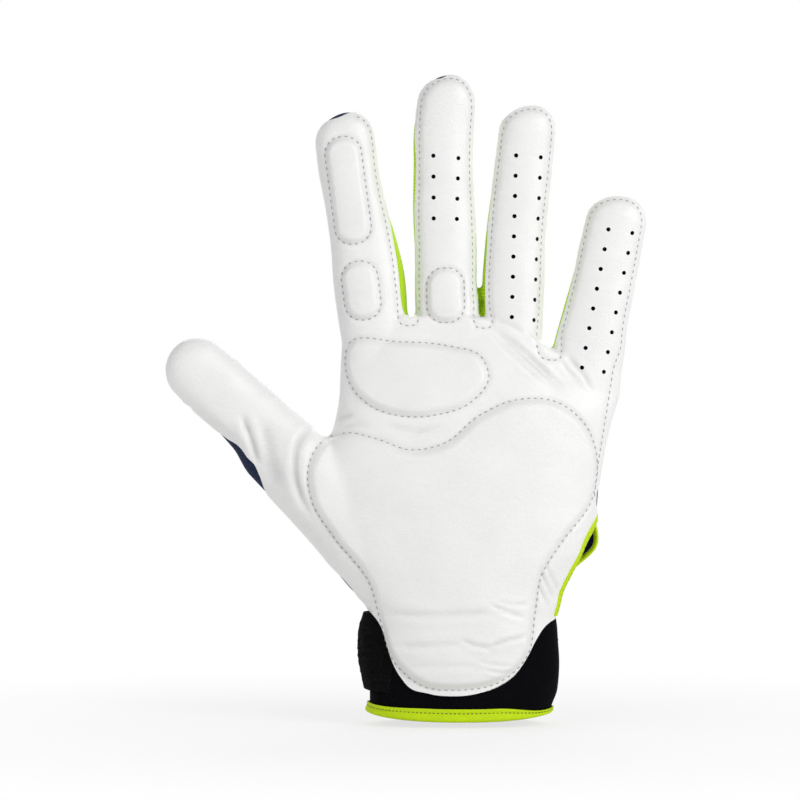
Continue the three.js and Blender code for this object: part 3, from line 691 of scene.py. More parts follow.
places += np.outer(waist, axes("thumb")[1])
print("vertices moved along the palm plane:", int((np.abs(places - get_points(skin.data)).max(1) > 0.05).sum()))

# %% Add up the lift of every place
flat = places[:, [0, 2]]
facing = ease(0.05, -0.35, normals[:, 1])  # 1 where the skin faces the palm side
rear = ease(0.45, 0.85, normals[:, 1])  # 1 where it faces the back
lift = LUMPS * facing * lumps(flat)
# painted shade: how much the leather's colour is greyed in the folds and stitched grooves
crease = np.zeros(len(flat))


def press(mine, change, tone):
    """Adds a lift to the palm side of the chosen vertices and keeps the darkest painted shade of its folds and
    grooves.
    """
    lift[mine] += facing[mine] * change
    crease[mine] = np.maximum(crease[mine], facing[mine] * tone)


for pad, ring in PAD_OUTLINES.items():
    rise, edge = PAD_RISE[pad]
    mine = near(flat, ring, 8) & (facing > 0)
    depth = depth_inside(flat[mine], ring)
    groove = bell(depth, GROOVE[1])
    press(mine, rise * ease(0.2, edge, depth) ** 0.8 - GROOVE[0] * groove, GROOVE_SHADE * groove)
for line, depth, width in FOLDS:
    line = seen_at(line, FOLD_DEPTH)
    mine = near(flat, line, 12) & (facing > 0)
    press(mine, *fold_lift(flat[mine], line, depth, width))
mine = (facing > 0) & (flat[:, 1] > 80)
groove = bell(line_distance(flat[mine], even(thread_lines["edge"], 2.5))[0], EDGE_GROOVE[1])
press(mine, -EDGE_GROOVE[0] * groove, EDGE_GROOVE_SHADE * groove)
owner, _, _ = finger_of(flat)
for digit in DIGITS:
    u, w = in_digit(digit, places)
    if digit in FINGERS:
        mine = owner == FINGERS.index(digit)
        lift += KNUCKLE_SWELL * rear * np.exp(-(((w + 6) / 8) ** 2) - (u / 7) ** 2)
    else:
        mine = (np.abs(u) < THUMB_SIDE) & (w > 8)
    for at in JOINT_FOLDS:
        place = w - DIGITS[digit]["bend"] - at - 0.012 * at * u**2 / 4
        lift -= JOINT_DEPTH * rear * mine * bell(place, 1.0)
set_points(skin.data, places + normals * lift[:, None])
# the painted shade is kept on the skin as an attribute for the leather finish
skin.data.attributes.new("crease", "FLOAT", "POINT").data.foreach_set("value", crease)
print("lift from %.2f to %.2f mm" % (lift.min(), lift.max()))

# %% [markdown]
# ## Cutting the panels
# A seam is a curved line on a curved skin, and bisect_plane only cuts flat. The trick is to push the skin so that
# the wanted line lies flat, cut there, and push it back: the cut edge then follows the line exactly.

# %% Cut the skin along its seams
BACK_EDGE = 43.0  # lower edge of the back panel
BEND_ZONE = 7  # half length of the skin that bends at a middle crease
SLIVER = 0.06  # edges shorter than this are left over by the cuts and closed up
CUT_REACH = 3  # only faces this near to a straight cut are split
TONGUE_DEPTH = 22  # depth of the tongue before the palm plane
TONGUE = [
    (-60, 42.6), (-36, 42.6), (-33.2, 40.6), (-28.6, 34), (-25.6, 24), (-20.5, 15), (-11, 10.7), (-2.5, 9.8),
    (7, 10.7), (15.6, 13.7), (22, 18.2), (26.6, 24.3), (30, 30.8), (33, 35.2), (37.6, 38.4), (60, 38.4)]


def tongue_height(x):
    """Height of the palm leather's lower edge across the wrist."""
    keys, values = seen_at(TONGUE, TONGUE_DEPTH).T
    return smooth_curve(keys, values, x)


def edited(mesh, change):
    """Opens a mesh for bmesh operators, lets them change it and writes it back."""
    bm = bmesh.new()
    bm.from_mesh(mesh)
    change(bm)
    bm.to_mesh(mesh)
    bm.free()


def cut_along(mesh, axis, height_of):
    """Cuts a mesh where its coordinate on an axis equals height_of(points), which may bend along the other two."""
    points = get_points(mesh)
    points[:, axis] -= height_of(points)
    set_points(mesh, points)
    direction = [1.0 if k == axis else 0.0 for k in range(3)]
    edited(mesh, lambda bm: bmesh.ops.bisect_plane(bm, geom=[*bm.verts, *bm.edges, *bm.faces], dist=1e-4,
                                                   plane_co=(0, 0, 0), plane_no=direction))
    points = get_points(mesh)
    points[:, axis] += height_of(points)
    set_points(mesh, points)


def cut_digit(mesh, digit, distance):
    """Cuts the tube of one digit straight across at a distance along it."""
    base, across, along = axes(digit)
    points = get_points(mesh)
    u, w = in_digit(digit, points)
    close = (np.abs(w - distance) < CUT_REACH) & (np.abs(u) < station(digit, 2, distance) + 2.2)
    if digit in FINGERS:
        close &= finger_of(points[:, [0, 2]])[0] == FINGERS.index(digit)

    def cut(bm):
        faces = [face for face in bm.faces if all(close[vert.index] for vert in face.verts)]
        edges = {edge for face in faces for edge in face.edges}
        verts = {vert for face in faces for vert in face.verts}
        bmesh.ops.bisect_plane(bm, geom=[*verts, *edges, *faces], dist=1e-4, plane_co=base + along * distance,
                               plane_no=along)

    edited(mesh, cut)


def lower_start(digit):
    """Distance along a digit where its lower panels start to turn with it."""
    return -4.0 if digit == "thumb" else 2.0


def upper_start(digit):
    """Distance along a digit where its upper panels begin."""
    return DIGITS[digit]["bend"] - BEND_ZONE


cut_along(skin.data, 1, lambda points: seam_depths(points[:, [0, 2]])[0])
cut_along(skin.data, 1, lambda points: seam_depths(points[:, [0, 2]])[1])
cut_along(skin.data, 2, lambda points: tongue_height(points[:, 0]))
cut_along(skin.data, 2, lambda points: np.full(len(points), BACK_EDGE))
for digit in DIGITS:
    cut_digit(skin.data, digit, lower_start(digit))
    cut_digit(skin.data, digit, upper_start(digit))
edited(skin.data, lambda bm: bmesh.ops.dissolve_degenerate(bm, dist=SLIVER, edges=bm.edges))
print("skin faces after the cuts:", len(skin.data.polygons))

# %% Sort the faces into panels
CROTCH_LOW = 120  # the strips in the crotches lie above this height


def segment_of(points):
    """Which piece of the hand each point belongs to: hand, or a digit's lower or upper half."""
    names = np.full(len(points), "hand", dtype=object)
    owner, across, along = finger_of(points[:, [0, 2]])
    for k, digit in enumerate(FINGERS):
        names[(owner == k) & (along > lower_start(digit))] = digit + "_lower"
        names[(owner == k) & (along > upper_start(digit))] = digit + "_upper"
    u, w = in_digit("thumb", points)
    on_thumb = np.abs(u) < THUMB_SIDE
    names[on_thumb & (w > lower_start("thumb"))] = "thumb_lower"
    names[on_thumb & (w > upper_start("thumb"))] = "thumb_upper"
    return names, across


def side_of(mesh, distances):
    """Side of a cut that each face lies on, read at the corner of the face that is farthest from the cut."""
    corners = read(mesh.loops, "vertex_index", 1, np.int32)
    starts = read(mesh.polygons, "loop_start", 1, np.int32)
    most = np.maximum.reduceat(distances[corners], starts)
    least = np.minimum.reduceat(distances[corners], starts)
    return np.where(most > -least, most, least)


centres = read(skin.data.polygons, "center")
segments, across = segment_of(centres)
points = get_points(skin.data)
leather_edge, back_edge = seam_depths(points[:, [0, 2]])
is_leather = side_of(skin.data, points[:, 1] - leather_edge) < 0
is_back = ~is_leather & (side_of(skin.data, points[:, 1] - back_edge) > 0)
is_lime = ~is_leather & ~is_back
above_tongue = side_of(skin.data, points[:, 2] - tongue_height(points[:, 0])) > 0
panel_names = np.full(len(centres), "", dtype=object)
for segment in sorted(set(segments)):
    here = segments == segment
    if segment == "hand":
        panel_names[here & is_leather & above_tongue] = "palm_leather"
        panel_names[here & is_back & (centres[:, 2] > BACK_EDGE)] = "back_panel"
        crotch_x = np.array([x for x, z in CROTCH_SPOTS.values()])
        nearest = np.argmin(np.abs(centres[:, :1] - crotch_x), axis=1)
        for k, pair in enumerate(CROTCH_SPOTS):
            in_crotch = here & is_lime & (nearest == k) & (centres[:, 2] > CROTCH_LOW)
            panel_names[in_crotch] = "_".join(pair) + "_crotch_fourchette"
        continue
    panel_names[here & is_leather] = segment + "_leather"
    panel_names[here & is_back] = segment + "_back"
    panel_names[here & is_lime & (across < 0)] = segment + "_inner_fourchette"
    panel_names[here & is_lime & (across >= 0)] = segment + "_outer_fourchette"
names, counts = np.unique(panel_names.astype(str), return_counts=True)
for name, count in zip(names, counts):
    print(name or "trimmed off", count)

# %% [markdown]
# ## Finishes
# Every finish is made of nodes, so it has no picture behind it and stays sharp at any distance. A small helper adds
# a node and feeds its inputs: a number is set, and another node's output is linked. Patterns read Object
# coordinates, which are metres here, so a scale of 1000 means one pattern step per millimetre.

# %% Helpers for materials


class Nodes:
    """A node tree, with short ways to add the nodes that the finishes are made of."""

    def __init__(self, tree):
        self.tree = tree

    def feed(self, socket, value):
        """Links another node's output to a socket, or sets a plain value."""
        if isinstance(value, bpy.types.NodeSocket):
            self.tree.links.new(value, socket)
        else:
            socket.default_value = value

    def add(self, kind, inputs=(), **settings):
        """Adds a node, changes its settings and feeds its inputs."""
        made = self.tree.nodes.new("ShaderNode" + kind)
        for key, value in settings.items():
            setattr(made, key, value)
        for key, value in dict(inputs).items():
            self.feed(made.inputs[key], value)
        return made

    def maths(self, operation, a, b=0.0):
        return self.add("Math", {0: a, 1: b}, operation=operation).outputs[0]

    def total(self, start, *parts):
        """A start value plus every part, given as (value, share)."""
        for value, share in parts:
            start = self.maths("ADD", start, self.maths("MULTIPLY", value, share))
        return start

    def ranged(self, value, before=(0.0, 1.0), after=(0.0, 1.0), **settings):
        """A value mapped from one range to another and held at its ends."""
        limits = {"From Min": before[0], "From Max": before[1], "To Min": after[0], "To Max": after[1]}
        return self.add("MapRange", {"Value": value, **limits}, **settings).outputs["Result"]


class Finish(Nodes):
    """A material with its surface shader, and the object coordinates for its patterns."""

    def __init__(self, name, roughness, **constants):
        self.mat = bpy.data.materials.new(name)
        self.mat.use_nodes = True
        super().__init__(self.mat.node_tree)
        self.shader = self.tree.nodes["Principled BSDF"]
        self.coords = self.add("TexCoord").outputs["Object"]
        self.surface(Roughness=roughness, **constants)

    def surface(self, **values):
        """Feeds inputs of the surface shader; an underscore stands for a space in their names."""
        for key, value in values.items():
            self.feed(self.shader.inputs[key.replace("_", " ")], value)

    def noise(self, scale, detail=2.0, at=None):
        return self.add("TexNoise", {"Vector": at or self.coords, "Scale": scale, "Detail": detail}).outputs["Fac"]

    def stripes(self, direction, per_metre):
        """A soft wave from 0 to 1 across a direction, with a number of waves per metre."""
        along = self.add("VectorMath", {0: self.coords, 1: direction}, operation="DOT_PRODUCT").outputs["Value"]
        wave = self.maths("SINE", self.maths("MULTIPLY", along, 2 * math.pi * per_metre))
        return self.total(0.5, (wave, 0.5))

    def paint(self, factor, *stops):
        """Colours the surface by a ramp: stops are (position, (r, g, b))."""
        ramp = self.add("ValToRGB", {"Fac": factor})
        elements = ramp.color_ramp.elements
        for k, (position, colour) in enumerate(stops):
            stop = elements[k] if k < 2 else elements.new(position)
            stop.position, stop.color = position, (*colour, 1)
        self.surface(Base_Color=ramp.outputs["Color"])

    def emboss(self, height, strength, distance):
        """Feeds a height pattern to the surface as bumps of a given distance in metres."""
        bump = self.add("Bump", {"Height": height, "Strength": strength, "Distance": distance})
        self.surface(Normal=bump.outputs["Normal"])


# %% Leather and its flesh side
# Fine sheepskin: small soft cells between pores, thin wandering wrinkles, a faint mottling, and painted shade that
# greys the creases and the stitched grooves.
leather = Finish("leather_finish", 0.4)
cells = leather.add("TexVoronoi", {"Vector": leather.coords, "Scale": 780.0}, feature="DISTANCE_TO_EDGE")
cell_edge = leather.ranged(cells.outputs["Distance"], (0.0, 0.22))
pores, crinkle = leather.noise(2400.0, 3.0), leather.noise(170.0, 4.0)
slanted = leather.add("Mapping", {"Vector": leather.coords, "Rotation": (0, 0.7, 0), "Scale": (1, 1, 2.6)})
wander = leather.noise(75.0, 5.0, slanted.outputs["Vector"])
wrinkle = leather.ranged(leather.maths("ABSOLUTE", leather.maths("SUBTRACT", wander, 0.5)), (0.0, 0.035))
relief = leather.total(0.0, (cell_edge, 0.5), (pores, 0.45), (crinkle, 0.9), (wrinkle, 0.45))
leather.emboss(relief, 0.28, 0.0003)
# painted shade: the attribute greys the leather's colour in the folds and stitched grooves
painted_fold_shade = leather.add("Attribute", attribute_name="crease").outputs["Fac"]
tone = leather.total(0.36, (leather.noise(55.0, 3.0), 0.5), (wrinkle, 0.06), (painted_fold_shade, -0.5))
leather.paint(tone, (0.0, (0.60, 0.59, 0.59)), (0.5, (0.82, 0.815, 0.81)), (0.9, (0.88, 0.877, 0.873)))
leather.surface(Roughness=leather.ranged(pores, after=(0.34, 0.5)))
print("nodes of the leather:", len(leather.tree.nodes))

# The flesh side is painted near black, darker than sheepskin's own pale flesh side, as painted shade: it lines the
# inside of the glove and the walls of the air holes, so that they read dark.
flesh_shade = Finish("flesh_finish", 0.95)
nap = flesh_shade.noise(900.0, 4.0)
flesh_shade.paint(nap, (0.2, (0.012, 0.012, 0.013)), (0.8, (0.05, 0.05, 0.052)))
flesh_shade.emboss(nap, 0.5, 0.0003)

# %% Knits, tapes and neoprene


def knit(name, dark, light, roughness, pitch, gloss=0.4):
    """A knitted cloth: columns of stitches crossed by rows, pitch in millimetres."""
    cloth = Finish(name, roughness, Specular_IOR_Level=gloss)
    ways = (1, 0.6, 0.0), (0.5, 0.3, 0.86), (-0.5, -0.3, 0.86)
    columns, up, down = (cloth.stripes(way, 1000.0 / pitch) for way in ways)
    loops = cloth.maths("MULTIPLY", cloth.maths("MAXIMUM", up, down), cloth.total(0.5, (columns, 0.6)))
    height = cloth.total(loops, (cloth.noise(5200.0), 0.35))
    shade = cloth.total(0.0, (height, 0.55), (cloth.noise(40.0), 0.35))
    cloth.paint(shade, (0.15, dark), (0.85, light))
    cloth.emboss(height, 0.7, 0.00035)
    return cloth


navy = knit("navy_finish", (0.004, 0.007, 0.022), (0.017, 0.028, 0.076), 0.82, 1.5, 0.2)
lime = knit("lime_finish", (0.36, 0.60, 0.006), (0.60, 0.86, 0.016), 0.72, 1.1)
neoprene = knit("neoprene_finish", (0.001, 0.001, 0.0013), (0.005, 0.005, 0.0065), 0.8, 0.8, 0.02)
tricot = knit("tricot_finish", (0.55, 0.55, 0.53), (0.78, 0.78, 0.76), 0.85, 0.7)

# Binding tape is woven with fine cross ribs that run round the edge it binds.
binding = Finish("binding_finish", 0.62, Specular_IOR_Level=0.2)
ribs = binding.maths("MAXIMUM", binding.stripes((1, 1, 0.2), 1500.0), binding.stripes((0.2, -0.2, 1), 1300.0))
tone = binding.total(0.5, (binding.noise(160.0, 3.0), binding.maths("MULTIPLY", ribs, 0.5)))
binding.paint(tone, (0.25, (0.40, 0.61, 0.003)), (0.9, (0.62, 0.82, 0.006)))
binding.emboss(ribs, 0.5, 0.0002)

# Brushed loop fabric: a felt of tiny loops that catches light at grazing angles.
webbing = Finish("webbing_finish", 0.95, Specular_IOR_Level=0.05, Sheen_Weight=0.02)
fuzz, tufts = webbing.noise(1700.0, 5.0), webbing.noise(420.0, 3.0)
felt = webbing.maths("MULTIPLY", fuzz, webbing.maths("ADD", tufts, 0.5))
webbing.paint(felt, (0.25, (0.001, 0.001, 0.001)), (0.8, (0.0065, 0.0065, 0.007)))
webbing.emboss(webbing.maths("ADD", fuzz, tufts), 0.9, 0.0009)

# Hook tape shows rows of tiny hooks.
tape = Finish("grip_finish", 0.7)
hooks = tape.maths("MULTIPLY", tape.stripes((1, 0.4, 0), 700.0), tape.stripes((0, 0, 1), 700.0))
tape.paint(hooks, (0.1, (0.004, 0.004, 0.004)), (0.9, (0.03, 0.03, 0.03)))
tape.emboss(hooks, 0.9, 0.0006)

# Closed-cell foam: grey, with small round cells.
foam = Finish("foam_finish", 0.9)
bubbles = foam.add("TexVoronoi", {"Vector": foam.coords, "Scale": 900.0}).outputs["Distance"]
foam.paint(bubbles, (0.0, (0.22, 0.22, 0.21)), (0.7, (0.38, 0.38, 0.37)))
foam.emboss(bubbles, 0.6, 0.0004)


def thread(name, dark, light):
    """Sewing thread is twisted, so fine stripes run across it."""
    yarn = Finish(name, 0.6)
    twist = yarn.stripes((0.7, 0.5, 0.7), 2600.0)
    yarn.paint(twist, (0.1, dark), (0.9, light))
    yarn.emboss(twist, 0.5, 0.0001)
    return yarn


# The grey is darker than the thread's own pale grey: partly the thread's colour, partly painted shade of the stitch
# holes and the groove it lies in.
grey_thread = thread("grey_thread", (0.33, 0.33, 0.34), (0.46, 0.46, 0.47))
olive_thread = thread("olive_thread", (0.05, 0.075, 0.006), (0.10, 0.15, 0.012))
lime_thread = thread("lime_thread", (0.22, 0.36, 0.02), (0.34, 0.52, 0.03))
print("materials:", [mat.name for mat in bpy.data.materials])

# %% [markdown]
# ## Panels
# The sorted faces become objects of their own. Each face gets a stand-in material slot with its panel's name, and
# Blender's separate command splits the mesh by slot. A panel is then a single surface, and Solidify gives it the
# thickness of its cloth towards the hand, with the flesh side as its second material.

# %% Split the skin


def split_by_name(obj, labels):
    """Splits an object by a name for each face and drops the faces named with an empty text."""
    names = sorted(set(labels))
    obj.data.materials.clear()
    for name in names:
        obj.data.materials.append(bpy.data.materials.new("panel." + name))
    index = {name: k for k, name in enumerate(names)}
    obj.data.polygons.foreach_set("material_index", [index[name] for name in labels])
    bpy.ops.object.select_all(action="DESELECT")
    obj.select_set(True)
    bpy.context.view_layer.objects.active = obj
    bpy.ops.object.mode_set(mode="EDIT")
    bpy.ops.mesh.select_all(action="SELECT")
    bpy.ops.mesh.separate(type="MATERIAL")
    bpy.ops.object.mode_set(mode="OBJECT")
    found = {}
    for piece in list(bpy.context.selected_objects):
        name = piece.data.materials[0].name[len("panel."):]
        piece.data.materials.clear()
        if name:
            found[name] = piece
        else:
            bpy.data.objects.remove(piece)
    for name in names:
        bpy.data.materials.remove(bpy.data.materials["panel." + name])
    return found


shared = skin.data.attributes.new("skin_normal", "FLOAT_VECTOR", "POINT")
shared.data.foreach_set("vector", read(skin.data.vertices, "normal").ravel())
skin_faces = [list(face.vertices) for face in skin.data.polygons]
skin_tree = BVHTree.FromPolygons(get_points(skin.data).tolist(), skin_faces)
panels = split_by_name(skin, panel_names)
print("panels:", len(panels))

# %% Give the panels their thickness
LEATHER, KNIT = 1.1, 0.8
INSET = 0.55  # how far knit lies under the leather's edge
# thickness, inset, and the finishes outside and inside, by the last word of a panel's name
CLOTHS = {"leather": (LEATHER, 0, leather, flesh_shade), "fourchette": (KNIT, INSET, lime, lime),
          "back": (KNIT, INSET, navy, navy), "panel": (KNIT, INSET, navy, navy)}


def smooth_shade(obj, angle):
    """Shades a mesh smoothly except across edges sharper than an angle."""
    obj.data.polygons.foreach_set("use_smooth", [True] * len(obj.data.polygons))
    obj.data.set_sharp_from_angle(angle=math.radians(angle))


def thicken(obj, thickness, finishes, angle=50, then=(), **settings):
    """Gives a surface its finishes and a thickness inwards, other modifiers after that, and smooth shading."""
    for finish in finishes:
        obj.data.materials.append(finish.mat)
    finish_with(obj, ("SOLIDIFY", dict(thickness=thickness, offset=-1, use_rim=True, **settings)), *then)
    obj.vertex_groups.clear()
    smooth_shade(obj, angle)


def sew_panel(obj, thickness, inset, outside, inside_finish):
    """Sets a panel back by an inset and gives it its cloth, with the second finish towards the hand."""
    inward = read(obj.data.attributes["skin_normal"].data, "vector")
    set_points(obj.data, get_points(obj.data) - inset * inward)
    obj.data.attributes.remove(obj.data.attributes["skin_normal"])
    obj.data.polygons.foreach_set("material_index", [0] * len(obj.data.polygons))
    thicken(obj, thickness, (outside, inside_finish), material_offset=1)


for name, obj in panels.items():
    sew_panel(obj, *CLOTHS[name.split("_")[-1]])
print("faces in the panels:", sum(len(obj.data.polygons) for obj in panels.values()))

# %% [markdown]
# ## Air holes
# Rows of round holes are punched through the leather of the middle, ring and little fingers. They could be painted on
# as dark dots, but a real hole has a wall and shades itself, so short cylinders are taken out of the leather with a
# Boolean; their walls take the near-black flesh finish, painted shade that darkens them further. Each row runs along
# its finger with an even pitch.

# %% Punch the air holes
HOLE = dict(radius=0.82, sides=14, length=5, margin=1.2)  # length of the punch, and how near to a joint line counts
HOLE_DEPTH = 10  # depth of the holes before the palm plane
RAY_START = -80  # rays that look for the palm side start here, well in front of it
SIDE_DEPTH = SEAM + 3  # a ray that lands deeper than this has passed the palm side
# finger: (across and along of the lowest hole, across and along of the highest hole, holes)
HOLE_ROWS = {
    "middle": [((-5.2, 38.2), (-5.1, 61.9), 4), ((3.6, 37.9), (4.4, 60.9), 4)],
    "ring": [((-1.4, 1.0), (-4.1, 62.2), 9), ((7.2, 0.5), (5.3, 62.2), 9)],
    "little": [((0.6, -5.2), (-0.6, 48.2), 8), ((9.2, -5.0), (8.6, 48.8), 8)],
}


def punch(obj, spots):
    """Takes round holes out of a panel at points with normals."""
    cutter = bmesh.new()
    for point, normal in spots:
        turn = Vector((0, 0, 1)).rotation_difference(normal).to_matrix().to_4x4()
        bmesh.ops.create_cone(cutter, cap_ends=True, segments=HOLE["sides"], radius1=HOLE["radius"],
                              radius2=HOLE["radius"], depth=HOLE["length"], matrix=Matrix.Translation(point) @ turn)
    tool = object_from("punch", cutter)
    # painted shade: the walls of the holes get the near-black flesh finish
    tool.data.materials.append(flesh_shade.mat)
    finish_with(obj, ("BOOLEAN", dict(operation="DIFFERENCE", solver="MANIFOLD", object=tool)))
    bpy.data.objects.remove(tool)
    smooth_shade(obj, 50)


def on_front(x, z):
    """The place and normal of the glove's palm side at a point of the palm plane, or nothing beside the glove."""
    point, normal, face, gap = skin_tree.ray_cast(Vector((x, RAY_START, z)), Vector((0, 1, 0)))
    return (point, normal) if point is not None and point.y < SIDE_DEPTH else None


hole_spots = {}
for digit, rows in HOLE_ROWS.items():
    for low, high, count in rows:
        for share in np.linspace(0, 1, count):
            place = np.array([low]) + share * (np.array([high]) - np.array([low]))
            x, z = seen_at(to_palm(digit, place), HOLE_DEPTH)[0]
            spot = on_front(x, z)
            line = np.array([x, spot[0].y, z]) + np.outer((-HOLE["margin"], 0, HOLE["margin"]), axes(digit)[2])
            for segment in sorted(set(segment_of(line)[0])):  # a hole across a joint line goes through both panels
                leather_name = "palm_leather" if segment == "hand" else segment + "_leather"
                hole_spots.setdefault(leather_name, []).append(spot)
for leather_name, spots in hole_spots.items():
    punch(panels[leather_name], spots)
    print(leather_name, "holes:", len(spots))

# %% [markdown]
# ## Thread
# The seams are held by rows of short stitches that lie in a shallow groove. A row could be a texture, but thread
# stands a little proud and casts its own shadow. Every stitch is one small capsule, made from a sphere and set along
# its line on the leather. The lines are drawn in the palm plane and dropped on the skin with ray casts.

# %% Sew the rows
STITCH = dict(pitch=2.45, half=0.7, thick=0.24)
PROUD = 0.04  # how far the middle of a stitch stands over its line


def stitch_row(line, pitch):
    """Middles, directions and normals of the stitches of one row, dropped on the palm side."""
    spots = []
    steps = even(line, pitch / 2)
    for k in range(1, len(steps) - 1, 2):
        ends = [on_front(*steps[k - 1]), on_front(*steps[k]), on_front(*steps[k + 1])]
        if None in ends:
            continue
        along = ends[2][0] - ends[0][0]
        if along.length < 1.6 * pitch:
            spots.append((ends[1][0], along.normalized(), ends[1][1]))
    return spots


def sew(name, spots, size, finish):
    """One object with a capsule for each stitch: size is (half length, half width)."""
    bm = bmesh.new()
    shape = Matrix.Diagonal((size[0], size[1], size[1], 1))
    for point, along, normal in spots:
        side = normal.cross(along).normalized()
        lie = Matrix((along, side, normal)).transposed().to_4x4()
        bmesh.ops.create_uvsphere(bm, u_segments=6, v_segments=5, radius=1,
                                  matrix=Matrix.Translation(point + normal * PROUD) @ lie @ shape)
    obj = object_from(name, bm)
    obj.data.materials.append(finish.mat)
    smooth_shade(obj, 80)
    return obj


by_segment = {}
for name, line in thread_lines.items():
    for spot in stitch_row(line, STITCH["pitch"]):
        segment = segment_of(np.array([spot[0]]))[0][0]
        by_segment.setdefault(segment, []).append(spot)
threads = {segment: sew(segment + "_stitches", spots, (STITCH["half"], STITCH["thick"]), grey_thread)
           for segment, spots in sorted(by_segment.items())}
print("stitches:", {segment: len(spots) for segment, spots in by_segment.items()})

# %% [markdown]
# ## Foam pads and lining
# The foam pads lie between the leather and a thin lining, and they are what lifts the leather. They are hidden in
# the finished glove but real, so each is made from the same outline: a patch of a grid in the palm plane is laid
# under the leather and thickened to a cushion, whose top follows the leather and whose rim thins out to its stitches.

# %% Cut the foam pads
# distance from the stitching, gap under the leather and grid; thickness of the rim, how much less than the pad's
# rise the crown adds to it, and the width of that slope
FOAM = dict(inset=1.4, gap=0.35, grid=1.6, rim=0.25, less=0.3, rise=4)


def draped_patch(name, ring, inset, grid):
    """A flat patch inside an outline, cut from an even grid in the palm plane and fitted to the outline's inset."""
    low, high = ring.min(0), ring.max(0)
    cells = np.ceil((high - low) / grid).astype(int)
    bm = bmesh.new()
    centre = (low + high) / 2
    lay = Matrix.Translation((centre[0], 0, centre[1])) @ Matrix.Rotation(math.pi / 2, 4, "X")
    scale = Matrix.Diagonal((cells[0] * grid / 2, cells[1] * grid / 2, 1, 1))
    bmesh.ops.create_grid(bm, x_segments=int(cells[0]), y_segments=int(cells[1]), size=1, matrix=lay @ scale)
    bm.verts.index_update()
    flat = np.array([(vert.co.x, vert.co.z) for vert in bm.verts])
    depth = depth_inside(flat, ring) - inset
    outside = [face for face in bm.faces if all(depth[vert.index] < 0 for vert in face.verts)]
    for vert in bm.verts:
        if depth[vert.index] < 0 and any(depth[edge.other_vert(vert).index] >= 0 for edge in vert.link_edges):
            nearest = ring[np.argmin(np.hypot(*(ring - flat[vert.index]).T))]
            inward = (flat[vert.index] - nearest) / max(np.hypot(*(flat[vert.index] - nearest)), 1e-6)
            sign = 1 if depth[vert.index] > -inset else -1
            vert.co.x, vert.co.z = nearest + sign * inward * inset
    bmesh.ops.delete(bm, geom=outside, context="FACES")
    bmesh.ops.delete(bm, geom=[vert for vert in bm.verts if not vert.link_faces], context="VERTS")
    return object_from(name, bm)


def lay_under(obj, sink):
    """Drops a flat patch on the palm side and sinks it below the skin by a distance."""
    points = get_points(obj.data)
    for k, (x, _, z) in enumerate(points):
        spot = on_front(x, z)
        if spot is not None:
            points[k] = spot[0] - spot[1] * sink
    set_points(obj.data, points)


foams = {}
for pad, ring in PAD_OUTLINES.items():
    obj = draped_patch(pad + "_foam_pad", ring, FOAM["inset"], FOAM["grid"])
    depth = depth_inside(get_points(obj.data)[:, [0, 2]], ring) - FOAM["inset"]
    thick = FOAM["rim"] + (PAD_RISE[pad][0] - FOAM["less"]) * ease(0, FOAM["rise"], depth)
    lay_under(obj, LEATHER + FOAM["gap"])
    layer = obj.vertex_groups.new(name="crown")
    for k, share in enumerate(thick / thick.max()):
        layer.add([k], float(share), "REPLACE")
    thicken(obj, float(thick.max()), [foam], 60, vertex_group="crown")
    foams[pad] = obj
    print(obj.name, "faces:", len(obj.data.polygons), "thickest %.1f mm" % thick.max())

# %% Cut the lining
LINING_OUTLINE = [(-40, 70), (-44, 92), (-40, 112), (-37, 138), (-10, 141), (22, 134), (44, 122), (46, 96), (43, 74),
                  (33, 58), (24, 48), (-24, 48), (-33, 58)]
LINING = dict(inset=0.6, grid=2.2, sink=LEATHER + 3.4, thick=0.5, steps=8)
lining_ring = closed_curve(LINING_OUTLINE)
lining = draped_patch("palm_lining_cloth", lining_ring, LINING["inset"], LINING["grid"])
lay_under(lining, LINING["sink"])
finish_with(lining, ("SMOOTH", dict(factor=0.5, iterations=LINING["steps"])))
thicken(lining, LINING["thick"], [tricot], 60)

# %% [markdown]
# ## The wrist
# The cuff is stretch neoprene in two halves, bound with lime tape at the hem and closed by a fuzzy strap that is sewn
# to the front edge, passes round the thumb side and sticks to the far side of the back. All of them follow the same
# wrist section, so one helper bends a flat grid of (angle, height) round it at a given offset.

# %% Bend grids round the wrist
CUFF = dict(bottom=1.2, top=47.0, outer=-1.56, thick=2.6, seam=-2.0, slit=(16.5, 18.6))
WIDTH_TOP, DEPTH_TOP = 41, 47  # above these heights the cuff keeps the wrist's width and depth
HEM_LIFT = (1.7, 4.2)  # how far the hem rises at the front and at the two sides; at the back it stands on the floor
HEM_HEIGHT = 5.0
HEM_NARROW = (0.6, 0.2)  # how much of its height the hem loses on the right and on the left
RIGHT_SWELL, RIGHT_DRAW = 0.5, 0.9  # the right side stands out at half height and draws in at the hem


def hem_lift(turn):
    """How far the hem rises at an angle round the wrist."""
    front, side = HEM_LIFT
    share = np.abs(np.sin(turn)) ** 1.5
    return side + np.where(np.sin(turn) < 0, front - side, -side) * share


